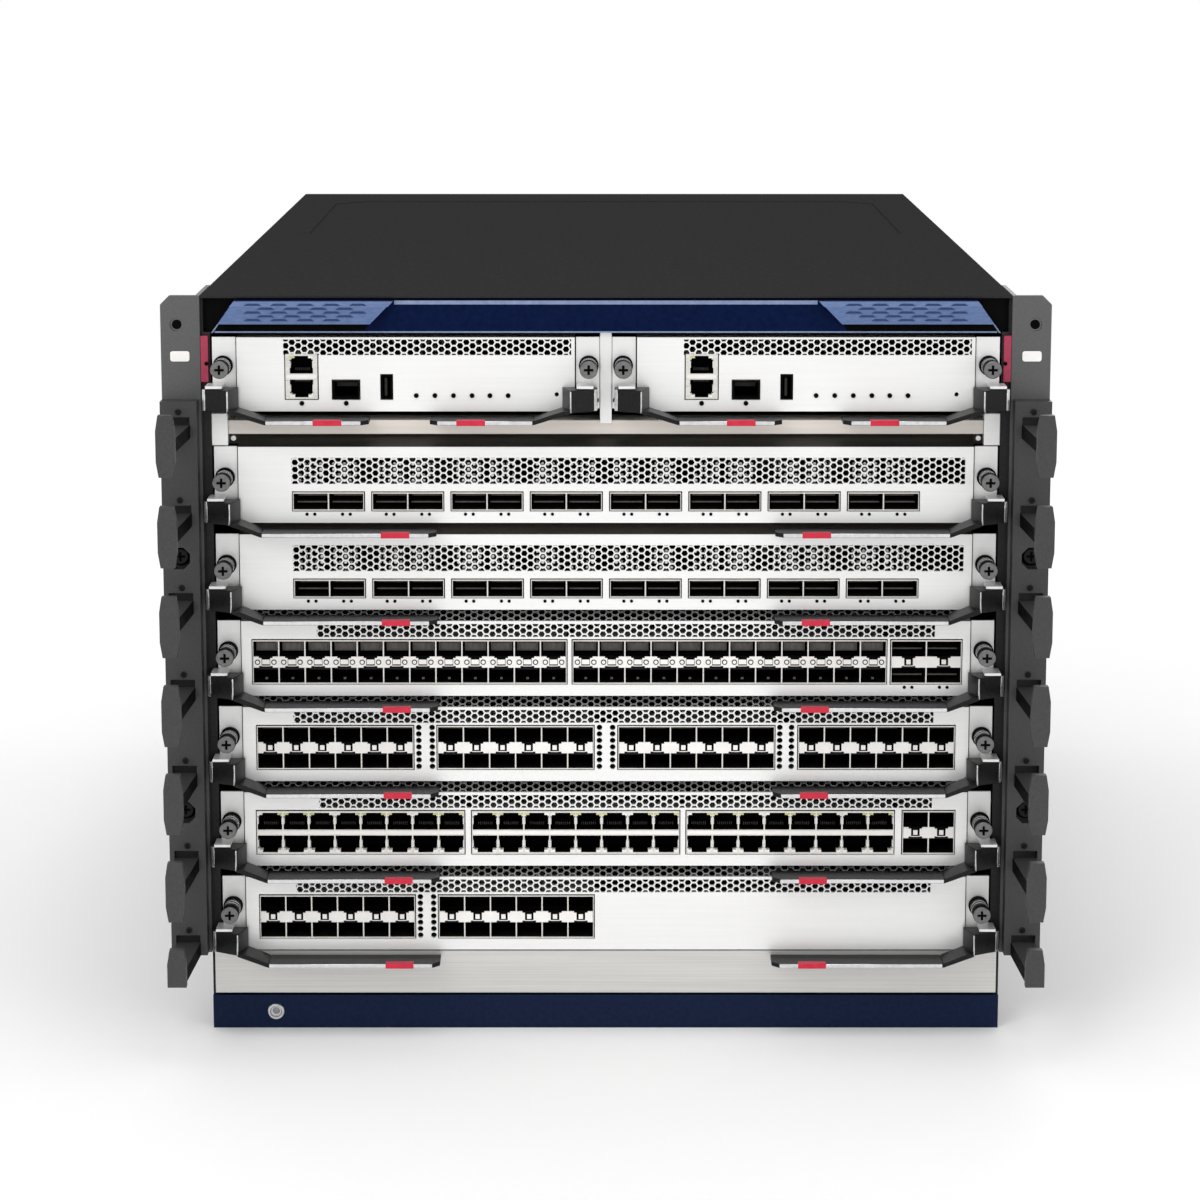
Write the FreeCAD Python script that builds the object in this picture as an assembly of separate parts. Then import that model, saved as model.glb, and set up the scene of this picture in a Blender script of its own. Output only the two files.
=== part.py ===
import FreeCAD, Part
import math
import os

os.makedirs("parts", exist_ok=True)

# Modular chassis switch for a 19-inch rack. Millimetres: +X right seen from the front, +Y to the rear, +Z up.
# The origin is on the underside, at the middle of the base.

V = FreeCAD.Vector

# Chassis
BODY_WIDTH = 440.0
BODY_DEPTH = 660.0
SHEET = 1.5
COVER_SHEET = 1.5
FRONT_SETBACK = 2.5
PRESS_FROM_FRONT = 332.0
PRESS_FROM_REAR = 62.0
PRESS_FROM_SIDE = 29.0
PRESS_CORNER = 20.0
SEAT_GAP = 0.3
OVERRUN = 1.0
ROUND_SIDES = 8
PIN_SIDES = 6
MOUTH_SIDES = 12

# Heights of the front, from the base up
BASE_BAND_HEIGHT = 19.0
BAND_TO_PANEL = 1.2
LOWER_PANEL_HEIGHT = 24.4
PANEL_TO_CARDS = 1.0
CARD_COUNT = 6
CARD_PITCH = 48.5
CARD_HEIGHT = 42.0
BEAM_HEIGHT = 7.7
BEAM_TO_CONTROL = 5.4
CONTROL_HEIGHT = 40.5
CONTROL_TO_FASCIA = 2.6
FASCIA_HEIGHT = 17.9
FASCIA_TO_COVER = 0.8

# Rack ears and cable guides
EAR_REACH = 21.3
RACK_HOLE_FROM_EDGE = 8.75
RACK_HOLE_RADIUS = 3.6
RACK_HOLE_DROP = 15.9
RACK_SCREW_DROPS = (142.9, 285.8)
EAR_SHEET = 3.0
EAR_LEG = 2.5
EAR_LEG_DEPTH = 52.0
EAR_BOTTOM = 44.0
EAR_CHAMFER = 5.0
GUIDE_PAST_BODY = 1.4
GUIDE_STANDOFF = 10.0
GUIDE_WALL = 2.5
GUIDE_ABOVE_SCREW = 5.7
GUIDE_SCREW_RISE = 14.1
FINGER_COUNT = 7
WINDOW_WIDTH = 13.4
WINDOW_HEIGHT = 4.6
WINDOW_DROP = 2.8
WINDOW_FROM_EDGE = 2.6
ARM_REACH = 52.0
ARM_HEIGHT = 7.0
ARM_TIP_WIDTH = 7.5
PADDLE_WIDTH = 10.2
PADDLE_END_WIDTH = 7.5
PADDLE_HEIGHT = 33.0
PADDLE_THICKNESS = 4.5
PADDLE_RISE = 9.4
GUIDE_SCREW_RADIUS = 1.7
GUIDE_SCREW_HEAD = 1.0
RACK_SCREW_RADIUS = 4.3
RACK_SCREW_HEAD = 3.5
RACK_SCREW_RECESS = 6.0

# Fascia and base band
FASCIA_TOP_INSET = 19.1
FASCIA_BOTTOM_INSET = 6.3
FASCIA_BACK = 6.0
FASCIA_PROUD = 1.0
PAD_PROUD = 7.0
PAD_HEIGHT = 12.6
PAD_LENGTH = 86.3
PAD_SLANT = 12.8
PAD_INSET = 3.0
SOCKET_FROM_EDGE = 35.2
SOCKET_BAND = 19.0
SOCKET_RISE = 9.75
SOCKET_BORE = 2.1
SOCKET_BODY = 4.2
SOCKET_RIM = 5.0
SOCKET_RIM_PROUD = 1.4
SOCKET_LENGTH = 14.0
SOCKET_BORE_DEPTH = 11.0

# Modules: folded faceplates, captive screws and boards
PLATE = 2.0
CARD_PLATE_INSET = 13.2
MODULE_INSET = 6.3
WING_THICKNESS = 2.0
WING_OVERLAP = 3.0
WING_BOTTOM = 14.0
LIP_SHEET = 1.5
TOP_LIP_DEPTH = 34.0
BOTTOM_LIP_DEPTH = 10.0
SCREW_RISE = 25.0
SCREW_INSET = 5.8
SCREW_HEAD_RADIUS = 4.75
SCREW_HEAD_LENGTH = 8.0
SCREW_SLEEVE_RADIUS = 4.0
SCREW_SLEEVE_LENGTH = 12.0
BOARD_DEPTH = 328.0
BOARD_CLEARANCE = 2.3
BOARD_NOSE_INSET = 15.7
DIVIDER_CLEARANCE = 0.6
BOARD_NOSE_DEPTH = 8.0
BOARD_SHEET = 2.0
BOARD_RISE = 4.9
CONNECTOR_DEPTH = 8.0
CONNECTOR_HEIGHT = 9.0
CARD_CONNECTOR_INSET = 64.8
CONTROL_CONNECTOR_INSET = 30.0
MIDPLANE_SHEET = 3.0

# Control bay
CENTRE_GAP = 3.5
DIVIDER_HALF_WIDTH = 3.2
DIVIDER_WALL = 2.0
CONTROL_WING = 12.6
CONTROL_WING_GAP = 0.8
POST_WIDTH = 8.8
POST_RISE = 4.0
BEAM_DEPTH = 24.0
BEAM_SETBACK = 4.0
BEAM_LIP_SETBACK = 8.0
BEAM_LIP_CLEARANCE = 0.5
TAB_HEIGHT = 25.3
TAB_WIDTH = 4.0
TAB_INSET = 0.2
TAB_RISE = 16.0
TAB_SHEET = 2.3

# Card guides
RAIL_WALL = 3.7
RAIL_LIP = 7.5
RAIL_SHEET = 1.5
RAIL_CLEARANCE = 0.35
RAIL_START = 12.0

# Ports: a cell's width is this share of a card faceplate's half width; its opening lies between its walls
SFP_SHARE = 0.07182
QSFP_SHARE = 0.09676
CAGE_WALL = 0.75
JACK_WALL = 1.4
RJ_KEY_SHARE = 0.52
RJ_KEY_HEIGHT = 1.9
PORT_OPENING_HEIGHT = 8.4
PORT_SILL = 0.8
PORT_ROW_PITCH = 14.5
PORT_SINGLE_HEIGHT = 10.0
PORT_DOUBLE_HEIGHT = 24.5
PORT_PROUD = 0.6
PORT_FIT = 0.3
CAGE_DEPTH = 48.0
CAGE_POCKET = 45.0
JACK_DEPTH = 22.0
JACK_POCKET = 14.0
QSFP_PAIR_COUNT = 8
QSFP_PAIR_SHARE = 0.21596
QSFP_START_SHARE = -0.85237
USB_HEIGHT = 13.0
USB_WALL = 0.8
USB_DEPTH = 16.0
USB_POCKET = 12.0

# Places on a control module, as shares of its width
CONTROL_JACK_SHARES = (0.18934, 0.27212)
CONTROL_CAGE_SHARES = (0.31113, 0.37964)
CONTROL_USB_SHARES = (0.43673, 0.46432)
RESET_SHARE = 0.88963
CONTROL_JACK_WALL = 2.9
RESET_RISE = 9.3
RESET_RADIUS = 1.6

# Vents: a row of stretched hexagons between two shares of the plate, at heights above the module's underside
VENT_COUNT = 5
CONTROL_VENT_COUNT = 2
VENT_BAR = 3.0
VENT_POINT = 8.0
CARD_VENT_SHARES = (-0.84, 0.94)
CONTROL_VENT_SHARES = (0.31, 0.925)
TALL_VENT_HEIGHTS = (21.5, 36.0)
LOW_VENT_HEIGHTS = (33.4, 39.0)
CONTROL_VENT_HEIGHTS = (31.6, 38.6)

# Ejector levers
LEVER_INSET = 1.7
LEVER_INNER_EDGE = 4.8
LEVER_ROOT_WIDTH = 15.0
LEVER_ROOT_DEPTH = 16.0
LEVER_RIDGE_AT = 11.0
LEVER_NEAR_DEPTH = 8.0
LEVER_BASE = 1.3
LEVER_TOP_GAP = 0.5
LEVER_RIDGE_FALL = 4.0
LEVER_CLEARANCE = 1.0
LEVER_BAR_DEPTH = 17.0
LEVER_BAR_SHEET = 2.4
LEVER_BAR_DROP = 2.6
LEVER_ARM_END = 31.3
LEVER_ARM_RISE = 6.0
CARD_LEVER_REACH = 126.3
CONTROL_LEVER_REACH = 90.3
LEVER_CORNER = 4.0
PIVOT_FROM_EDGE = 6.5
PIVOT_AHEAD = 7.5
PIN_RADIUS = 1.5
PIN_CLEARANCE = 0.1
HINGE_TAB_HALF = 4.5
HINGE_TAB_SHEET = 1.4
HINGE_TAB_AHEAD = 12.0

# Rear: power supplies and fan trays
POWER_COUNT = 4
POWER_DIVIDER = 2.0
POWER_SIDE_MARGIN = 5.0
POWER_DEPTH = 250.0
POWER_TOP_GAP = 0.8
INLET_WIDTH = 27.0
INLET_HEIGHT = 20.0
INLET_DEPTH = 18.0
INLET_FROM_EDGE = 8.0
GRIP_REACH = 24.0
GRIP_BAR = 5.0
GRIP_HEIGHT = 26.0
FRAME_SHEET = 2.0
TRAY_MARGIN = 4.0
TRAY_FIT = 0.5
TRAY_DEPTH = 84.0
TRAY_SHEET = 2.0
TRAY_WALL = 1.5
FANS_PER_TRAY = 2
FAN_OPENING_MARGIN = 12.0
FAN_HUB_RADIUS = 27.0
FAN_TIP_CLEARANCE = 3.0
FAN_BLADE_ROOT = 3.0
FAN_BLADE_SLANT_LENGTH = 1.2
FAN_HEIGHT = 26.0
FAN_BLADES = 5
FAN_BLADE_SHEET = 2.5
FAN_BLADE_LEAN = 34.0
FAN_SETBACK = 5.0
FAN_SHAFT_RADIUS = 4.0
FAN_SHAFT_LENGTH = 14.0
FAN_SHAFT_CLEARANCE = 0.1
SPOKE_WIDTH = 7.0
TRAY_GRIP_HEIGHT = 90.0

# Places that follow from the sizes
FRONT = -BODY_DEPTH / 2
REAR = BODY_DEPTH / 2
HALF = BODY_WIDTH / 2
THROUGH_PLATE = (FRONT - OVERRUN, FRONT + PLATE + OVERRUN)
INNER = HALF - SHEET
LOWER_PANEL_Z = BASE_BAND_HEIGHT + BAND_TO_PANEL
SHELF_TOP = LOWER_PANEL_Z + LOWER_PANEL_HEIGHT
CARDS_Z = SHELF_TOP + PANEL_TO_CARDS
BEAM_Z = CARDS_Z + CARD_COUNT * CARD_PITCH
BAY_FLOOR = BEAM_Z + BEAM_HEIGHT
CONTROL_Z = BAY_FLOOR + BEAM_TO_CONTROL
FASCIA_Z = CONTROL_Z + CONTROL_HEIGHT + CONTROL_TO_FASCIA
COVER_Z = FASCIA_Z + FASCIA_HEIGHT + FASCIA_TO_COVER
BODY_HEIGHT = COVER_Z + COVER_SHEET
BOARD_END = FRONT + PLATE + BOARD_DEPTH
MIDPLANE_Y = BOARD_END + SEAT_GAP + CONNECTOR_DEPTH
MIDPLANE_BACK = MIDPLANE_Y + MIDPLANE_SHEET
RAIL_INNER = INNER - RAIL_WALL
MODULE_EDGE = HALF - MODULE_INSET
BOARD_HALF_WIDTH = RAIL_INNER - BOARD_CLEARANCE
BOARD_NOSE = MODULE_EDGE - BOARD_NOSE_INSET
LEVER_OUTER_EDGE = HALF - LEVER_INSET
PLATE_HALF = MODULE_EDGE - CARD_PLATE_INSET
CONTROL_WIDTH = MODULE_EDGE - CENTRE_GAP
SFP_CELL = SFP_SHARE * PLATE_HALF
QSFP_CELL = QSFP_SHARE * PLATE_HALF
LEVER_TOP = WING_BOTTOM - LEVER_TOP_GAP
POWER_PITCH = 2 * (INNER - POWER_SIDE_MARGIN) / POWER_COUNT
POWER_WIDTH = POWER_PITCH - POWER_DIVIDER - 2 * TRAY_FIT
PORT_Z = BOARD_RISE + BOARD_SHEET
EAR_EDGE = HALF + EAR_REACH
GUIDE_EDGE = HALF + GUIDE_PAST_BODY
GUIDE_WIDTH = EAR_EDGE - GUIDE_EDGE
RACK_HOLE_X = EAR_EDGE - RACK_HOLE_FROM_EDGE
TOP_GUIDE_SCREW = CARDS_Z + GUIDE_SCREW_RISE + (FINGER_COUNT - 1) * CARD_PITCH
FAN_AREA_TOP = COVER_Z - TRAY_MARGIN
TRAY_Z = SHELF_TOP + TRAY_FIT
TRAY_INNER_X = TRAY_MARGIN / 2
TRAY_OUTER_X = INNER - TRAY_MARGIN
FAN_PITCH = (FAN_AREA_TOP - TRAY_Z) / FANS_PER_TRAY
FAN_X = (TRAY_INNER_X + TRAY_OUTER_X) / 2
FAN_OPENING_RADIUS = min(FAN_PITCH, TRAY_OUTER_X - TRAY_INNER_X) / 2 - FAN_OPENING_MARGIN
FAN_BLADE_RADIUS = FAN_OPENING_RADIUS - FAN_TIP_CLEARANCE


def block(x, y, z):
    """A box between three (low, high) pairs."""
    low = [min(pair) for pair in (x, y, z)]
    size = [abs(pair[1] - pair[0]) for pair in (x, y, z)]
    return Part.makeBox(size[0], size[1], size[2], V(*low))


def rod_y(x, z, radius, y):
    """A round bar along Y."""
    return Part.makeCylinder(radius, max(y) - min(y), V(x, min(y), z), V(0, 1, 0))


def ring(reach, sides):
    """The corners of a small or often repeated round piece, drawn with few faces."""
    angles = [(i + 0.5) * 2 * math.pi / sides for i in range(sides)]
    return [(reach * math.cos(angle), reach * math.sin(angle)) for angle in angles]


def small_rod_y(x, z, radius, y, sides=ROUND_SIDES):
    """A small bar along Y whose corners lie on its circle."""
    return prism_y([(x + dx, z + dz) for dx, dz in ring(radius, sides)], y)


def small_hole_y(x, z, radius, y, sides=ROUND_SIDES):
    """A small hole along Y whose flats lie on its circle, so a bar of that radius turns in it."""
    return small_rod_y(x, z, radius / math.cos(math.pi / sides), y, sides)


def pin_z(x, y, radius, z):
    """A lever's pin, whose corners lie on its circle."""
    return prism_z([(x + dx, y + dy) for dx, dy in ring(radius, PIN_SIDES)], z)


def pin_hole_z(x, y, radius, z):
    """A hole whose flats lie on its circle, so a pin of that radius turns in it."""
    return pin_z(x, y, radius / math.cos(math.pi / PIN_SIDES), z)


def prism_y(outline, y):
    """An (x, z) outline drawn along Y."""
    corners = [V(x, min(y), z) for x, z in outline]
    return Part.Face(Part.makePolygon(corners + corners[:1])).extrude(V(0, max(y) - min(y), 0))


def prism_z(outline, z):
    """An (x, y) outline drawn along Z."""
    corners = [V(x, y, min(z)) for x, y in outline]
    return Part.Face(Part.makePolygon(corners + corners[:1])).extrude(V(0, 0, max(z) - min(z)))


def join(shapes):
    """One solid from touching or overlapping shapes."""
    return shapes[0].multiFuse(shapes[1:]).removeSplitter()


def mirrored(shape):
    return shape.mirror(V(0, 0, 0), V(1, 0, 0))


def moved(shape, x=0.0, y=0.0, z=0.0):
    copy = shape.copy()
    copy.translate(V(x, y, z))
    return copy


def save(name, shape):
    """Write one node: its solid, or its group of separate solids."""
    solids = shape.Solids
    kept = solids[0] if len(solids) == 1 else Part.makeCompound(solids)
    kept.exportStep(f"parts/{name}.step")


def save_pair(name, left):
    """Write a left piece and its mirror image."""
    save(f"left_{name}", left)
    save(f"right_{name}", mirrored(left))


# Chassis shell

def chassis_tub():
    depth = (FRONT + FRONT_SETBACK, REAR)
    floor = block((-HALF, HALF), depth, (0, SHEET))
    walls = [block((side * INNER, side * HALF), depth, (0, COVER_Z)) for side in (-1, 1)]
    return join([floor] + walls)


def top_cover():
    """A flat cover with a shallow pressed panel whose corners are cut off."""
    sheet = block((-HALF, HALF), (FRONT, REAR), (COVER_Z, BODY_HEIGHT))
    near, far = FRONT + PRESS_FROM_FRONT, REAR - PRESS_FROM_REAR
    half, corner, press = HALF - PRESS_FROM_SIDE, PRESS_CORNER, COVER_SHEET / 2
    outline = [(-half + corner, near), (half - corner, near), (half, near + corner), (half, far - corner),
               (half - corner, far), (-half + corner, far), (-half, far - corner), (-half, near + corner)]
    return sheet.cut(prism_z(outline, (BODY_HEIGHT - press, BODY_HEIGHT + press)))


def power_shelf():
    """The full-depth shelf between the power row and what stands above it."""
    return block((-INNER, INNER), (FRONT + PLATE + BOTTOM_LIP_DEPTH, REAR - FRAME_SHEET),
                 (SHELF_TOP - SHEET, SHELF_TOP))


def power_x(index):
    return (index - (POWER_COUNT - 1) / 2) * POWER_PITCH


def rear_frame():
    """The rear frame: one window for each fan tray and each power supply."""
    frame = block((-INNER, INNER), (REAR - FRAME_SHEET, REAR), (SHEET, COVER_Z))
    depth = (REAR - 2 * FRAME_SHEET, REAR + FRAME_SHEET)
    windows = [block((side * TRAY_INNER_X, side * TRAY_OUTER_X), depth, (SHELF_TOP, FAN_AREA_TOP))
               for side in (-1, 1)]
    half = POWER_WIDTH / 2 + TRAY_FIT
    windows += [block((power_x(i) - half, power_x(i) + half), depth, (SHEET, SHELF_TOP - SHEET))
                for i in range(POWER_COUNT)]
    return frame.cut(windows)


def lower_panel():
    """The bare front panel under the cards, with lips folded back along its long edges."""
    front = FRONT + FRONT_SETBACK - SHEET
    sheet = block((-INNER, INNER), (front, front + SHEET), (LOWER_PANEL_Z, SHELF_TOP))
    lip = (front, FRONT + PLATE + BOTTOM_LIP_DEPTH)
    lips = [block((-INNER, INNER), lip, (SHELF_TOP - SHEET, SHELF_TOP)),
            block((-INNER, INNER), lip, (LOWER_PANEL_Z, LOWER_PANEL_Z + SHEET))]
    return join([sheet] + lips)


def socket_place():
    return -HALF + SOCKET_FROM_EDGE, SOCKET_RISE


def base_band():
    """Three lengths end to end; the short one carries the socket."""
    x, z = socket_place()
    left, right = x - SOCKET_BAND / 2, x + SOCKET_BAND / 2
    depth = (FRONT, FRONT + FRONT_SETBACK)
    ends, height = (-HALF, left, right, HALF), (0, BASE_BAND_HEIGHT)
    lengths = [block(span, depth, height) for span in zip(ends, ends[1:])]
    hole = small_rod_y(x, z, SOCKET_BODY, (FRONT - OVERRUN, FRONT + FRONT_SETBACK + OVERRUN))
    return Part.makeCompound([lengths[0], lengths[1].cut(hole), lengths[2]])


def ground_socket():
    """A turned bush for the wrist strap's plug."""
    x, z = socket_place()
    mouth = FRONT - SOCKET_RIM_PROUD
    bush = join([small_rod_y(x, z, SOCKET_RIM, (mouth, FRONT)),
                 small_rod_y(x, z, SOCKET_BODY, (FRONT, mouth + SOCKET_LENGTH))])
    return bush.cut(rod_y(x, z, SOCKET_BORE, (mouth - OVERRUN, mouth + SOCKET_BORE_DEPTH)))


def top_fascia():
    """The moulded fascia: slanted ends and two raised pads with cut ends."""
    top, low = HALF - FASCIA_TOP_INSET, HALF - FASCIA_BOTTOM_INSET
    high = FASCIA_Z + FASCIA_HEIGHT
    plate = prism_y([(-low, FASCIA_Z), (low, FASCIA_Z), (top, high), (-top, high)],
                    (FRONT - FASCIA_PROUD, FRONT + FASCIA_BACK))
    foot = high - PAD_HEIGHT
    slope = (low - top) / FASCIA_HEIGHT
    inner = top - PAD_LENGTH
    pad = prism_y([(-top, high), (-inner, high), (-inner - PAD_SLANT, foot),
                   (-top - slope * PAD_HEIGHT, foot)], (FRONT - PAD_PROUD, FRONT))
    nose = [V(-HALF, FRONT - PAD_PROUD, high), V(-HALF, FRONT - PAD_PROUD + PAD_INSET, high),
            V(-HALF, FRONT - PAD_PROUD, high - PAD_INSET)]
    bevel = Part.Face(Part.makePolygon(nose + nose[:1])).extrude(V(HALF, 0, 0))
    pad = pad.cut(bevel)
    return join([plate, pad, mirrored(pad)])


# Rack ears and cable guides

def rack_ear():
    """The left ear: a front flange with a cut corner and a leg that runs back along the side."""
    outline = [(-HALF, EAR_BOTTOM), (-HALF, BODY_HEIGHT), (-EAR_EDGE + EAR_CHAMFER, BODY_HEIGHT),
               (-EAR_EDGE, BODY_HEIGHT - EAR_CHAMFER), (-EAR_EDGE, EAR_BOTTOM)]
    flange = prism_y(outline, (FRONT, FRONT + EAR_SHEET))
    leg = block((-HALF - EAR_LEG, -HALF), (FRONT, FRONT + EAR_LEG_DEPTH), (EAR_BOTTOM, BODY_HEIGHT))
    hole = rod_y(-RACK_HOLE_X, BODY_HEIGHT - RACK_HOLE_DROP, RACK_HOLE_RADIUS,
                 (FRONT - OVERRUN, FRONT + EAR_SHEET + OVERRUN))
    return join([flange, leg]).cut(hole)


def guide_screw_z(index):
    return TOP_GUIDE_SCREW - index * CARD_PITCH


def finger(index):
    """One finger: an arm that tapers forward from the guide's wall to an upright barrel-shaped paddle."""
    face = FRONT - GUIDE_STANDOFF
    back = face - ARM_REACH
    outer, inner = window_sides()
    sill = window_sill(index)
    middle = -EAR_EDGE + GUIDE_WIDTH / 2
    tip = ARM_TIP_WIDTH / 2
    arm = prism_z([(outer, face + GUIDE_WALL), (inner, face + GUIDE_WALL), (inner, face),
                   (middle + tip, back), (middle - tip, back), (outer, face)], (sill - ARM_HEIGHT, sill))
    top = sill + WINDOW_HEIGHT + PADDLE_RISE
    middle_z = top - PADDLE_HEIGHT / 2
    side, end, bulge = PADDLE_WIDTH / 2, PADDLE_END_WIDTH / 2, PADDLE_HEIGHT / 4
    outline = [(end, top), (side, middle_z + bulge), (side, middle_z - bulge), (end, top - PADDLE_HEIGHT)]
    outline += [(-x, z) for x, z in reversed(outline)]
    paddle = prism_y([(middle + x, z) for x, z in outline], (back - PADDLE_THICKNESS, back))
    if index == FINGER_COUNT - 1:
        below = block((-EAR_EDGE, -HALF), (back - PADDLE_THICKNESS, back),
                      (sill - ARM_HEIGHT, top - PADDLE_HEIGHT))
        paddle = paddle.cut(below)
    return [arm, paddle]


def window_sides():
    outer = -EAR_EDGE + WINDOW_FROM_EDGE
    return outer, outer + WINDOW_WIDTH


def window_sill(index):
    """The bottom of a guide's window, which is the top of its finger's arm."""
    return guide_screw_z(index) - WINDOW_DROP - WINDOW_HEIGHT


def cable_guide():
    """The left guide: a hollow-backed moulding with a window above each finger."""
    edges = (-EAR_EDGE, -GUIDE_EDGE)
    face = FRONT - GUIDE_STANDOFF
    bottom = window_sill(FINGER_COUNT - 1) - ARM_HEIGHT
    top = TOP_GUIDE_SCREW + GUIDE_ABOVE_SCREW
    shell = block(edges, (face, FRONT), (bottom, top))
    hollow = block((edges[0] + GUIDE_WALL, edges[1] - GUIDE_WALL), (face + GUIDE_WALL, FRONT + GUIDE_WALL),
                   (bottom + GUIDE_WALL, top - GUIDE_WALL))
    windows = [block(window_sides(), (face - GUIDE_WALL, face + GUIDE_WALL),
                     (window_sill(index), window_sill(index) + WINDOW_HEIGHT))
               for index in range(FINGER_COUNT)]
    wall = (face - GUIDE_WALL, face + GUIDE_WALL)
    wells = [small_hole_y(-RACK_HOLE_X, BODY_HEIGHT - drop, RACK_SCREW_RECESS, wall)
             for drop in RACK_SCREW_DROPS]
    shell = shell.cut([hollow] + windows + wells)
    fingers = [piece for index in range(FINGER_COUNT) for piece in finger(index)]
    return join([shell] + fingers)


def guide_screws():
    """Small screws on the guides and large ones that hold them through the wells."""
    middle = -EAR_EDGE + GUIDE_WIDTH / 2
    face = FRONT - GUIDE_STANDOFF
    small = [small_rod_y(middle, guide_screw_z(i), GUIDE_SCREW_RADIUS, (face - GUIDE_SCREW_HEAD, face),
                         PIN_SIDES)
             for i in range(FINGER_COUNT)]
    head = (FRONT - RACK_SCREW_HEAD, FRONT)
    large = [small_rod_y(-RACK_HOLE_X, BODY_HEIGHT - drop, RACK_SCREW_RADIUS, head)
             for drop in RACK_SCREW_DROPS]
    left = small + large
    return Part.makeCompound(left + [mirrored(screw) for screw in left])


# Card cage

def card_z(index):
    """The underside of a line card's faceplate; card 0 is the top one."""
    return CARDS_Z + (CARD_COUNT - 1 - index) * CARD_PITCH


def rail_pair(x, y, module_z):
    """Two lips that hold a board's edge between them."""
    low = module_z + BOARD_RISE - RAIL_CLEARANCE
    high = module_z + BOARD_RISE + BOARD_SHEET + RAIL_CLEARANCE
    return [block(x, y, (low - RAIL_SHEET, low)), block(x, y, (high, high + RAIL_SHEET))]


def card_guides():
    """The left side wall of the cage, with a pair of rails for each board."""
    wall = block((-INNER, -RAIL_INNER), (FRONT + FRONT_SETBACK, MIDPLANE_BACK), (SHELF_TOP, FASCIA_Z))
    reach = (-RAIL_INNER, -RAIL_INNER + RAIL_LIP)
    along = (FRONT + RAIL_START, BOARD_END)
    levels = [card_z(i) for i in range(CARD_COUNT)] + [CONTROL_Z]
    return join([wall] + [lip for level in levels for lip in rail_pair(reach, along, level)])


def bay_frame():
    """The welded front frame: top beam, cross beam with its floor, posts and centre divider."""
    beam_end = RAIL_INNER - POST_WIDTH
    beam_back = FRONT + BEAM_DEPTH
    lip_z = card_z(0) + CARD_HEIGHT + BEAM_LIP_CLEARANCE
    post_top = BAY_FLOOR + POST_RISE
    top_beam = block((-INNER, INNER), (FRONT + FASCIA_BACK, beam_back), (FASCIA_Z, COVER_Z))
    floor = block((-RAIL_INNER, RAIL_INNER), (FRONT + BEAM_SETBACK, MIDPLANE_Y),
                  (BAY_FLOOR - SHEET, BAY_FLOOR))
    beam = block((-beam_end, beam_end), (FRONT + BEAM_SETBACK, beam_back), (BEAM_Z, BAY_FLOOR))
    lip = block((-beam_end, beam_end), (FRONT + BEAM_LIP_SETBACK, beam_back), (lip_z, BEAM_Z))
    posts = [block((side * beam_end, side * RAIL_INNER), (FRONT + PLATE, beam_back), (lip_z, post_top))
             for side in (-1, 1)]
    strip = block((-DIVIDER_HALF_WIDTH, DIVIDER_HALF_WIDTH), (FRONT + PLATE, beam_back),
                  (BAY_FLOOR - SHEET, FASCIA_Z))
    half_wall = DIVIDER_WALL / 2
    wall = block((-half_wall, half_wall), (FRONT + PLATE, MIDPLANE_Y), (BAY_FLOOR - SHEET, FASCIA_Z))
    along = (beam_back, BOARD_END)
    rails = []
    for side in (-1, 1):
        reach = (side * half_wall, side * (half_wall + RAIL_LIP))
        rails += rail_pair(reach, along, CONTROL_Z)
    return join([top_beam, floor, beam, lip] + posts + [strip, wall] + rails)


def side_tabs():
    """Two coloured tabs on the front edges of the card guides, beside the control modules."""
    low = CONTROL_Z + TAB_RISE
    outer = HALF - TAB_INSET
    left = block((-outer, -outer + TAB_WIDTH), (FRONT + FRONT_SETBACK - TAB_SHEET, FRONT + FRONT_SETBACK),
                 (low, low + TAB_HEIGHT))
    return Part.makeCompound([left, mirrored(left)])


def midplane():
    """The board that joins all modules, with one connector for each."""
    sheet = block((-RAIL_INNER, RAIL_INNER), (MIDPLANE_Y, MIDPLANE_BACK), (SHELF_TOP, FASCIA_Z))
    ahead = (MIDPLANE_Y - CONNECTOR_DEPTH, MIDPLANE_Y)
    half = RAIL_INNER - CARD_CONNECTOR_INSET
    sockets = []
    for index in range(CARD_COUNT):
        low = card_z(index) + PORT_Z
        sockets.append(block((-half, half), ahead, (low, low + CONNECTOR_HEIGHT)))
    low = CONTROL_Z + PORT_Z
    middle, half = control_middle(), control_connector_half()
    for centre in (-middle, middle):
        sockets.append(block((centre - half, centre + half), ahead, (low, low + CONNECTOR_HEIGHT)))
    return join([sheet] + sockets)


# Ports and vents, in a module's own frame: x as placed, z from its underside, y from the front plane

def port_height(rows):
    return PORT_SINGLE_HEIGHT if rows == 1 else PORT_DOUBLE_HEIGHT


def cage(x, z, height, depth):
    return block(x, (FRONT - PORT_PROUD, FRONT + depth), (z, z + height))


def jack_opening(centre, low, width, key_up):
    """An RJ45 mouth: a rectangle with the latch's key above or below."""
    half = width / 2
    key = RJ_KEY_SHARE * half
    body = PORT_OPENING_HEIGHT - RJ_KEY_HEIGHT
    outline = [(-half, 0), (half, 0), (half, body), (key, body), (key, body + RJ_KEY_HEIGHT),
               (-key, body + RJ_KEY_HEIGHT), (-key, body), (-half, body)]
    if not key_up:
        outline = [(x, PORT_OPENING_HEIGHT - z) for x, z in outline]
    return prism_y([(centre + x, low + z) for x, z in outline], (FRONT - OVERRUN, FRONT + JACK_POCKET))


def slot_opening(centre, low, width, pocket):
    return block((centre - width / 2, centre + width / 2), (FRONT - OVERRUN, FRONT + pocket),
                 (low, low + PORT_OPENING_HEIGHT))


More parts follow.
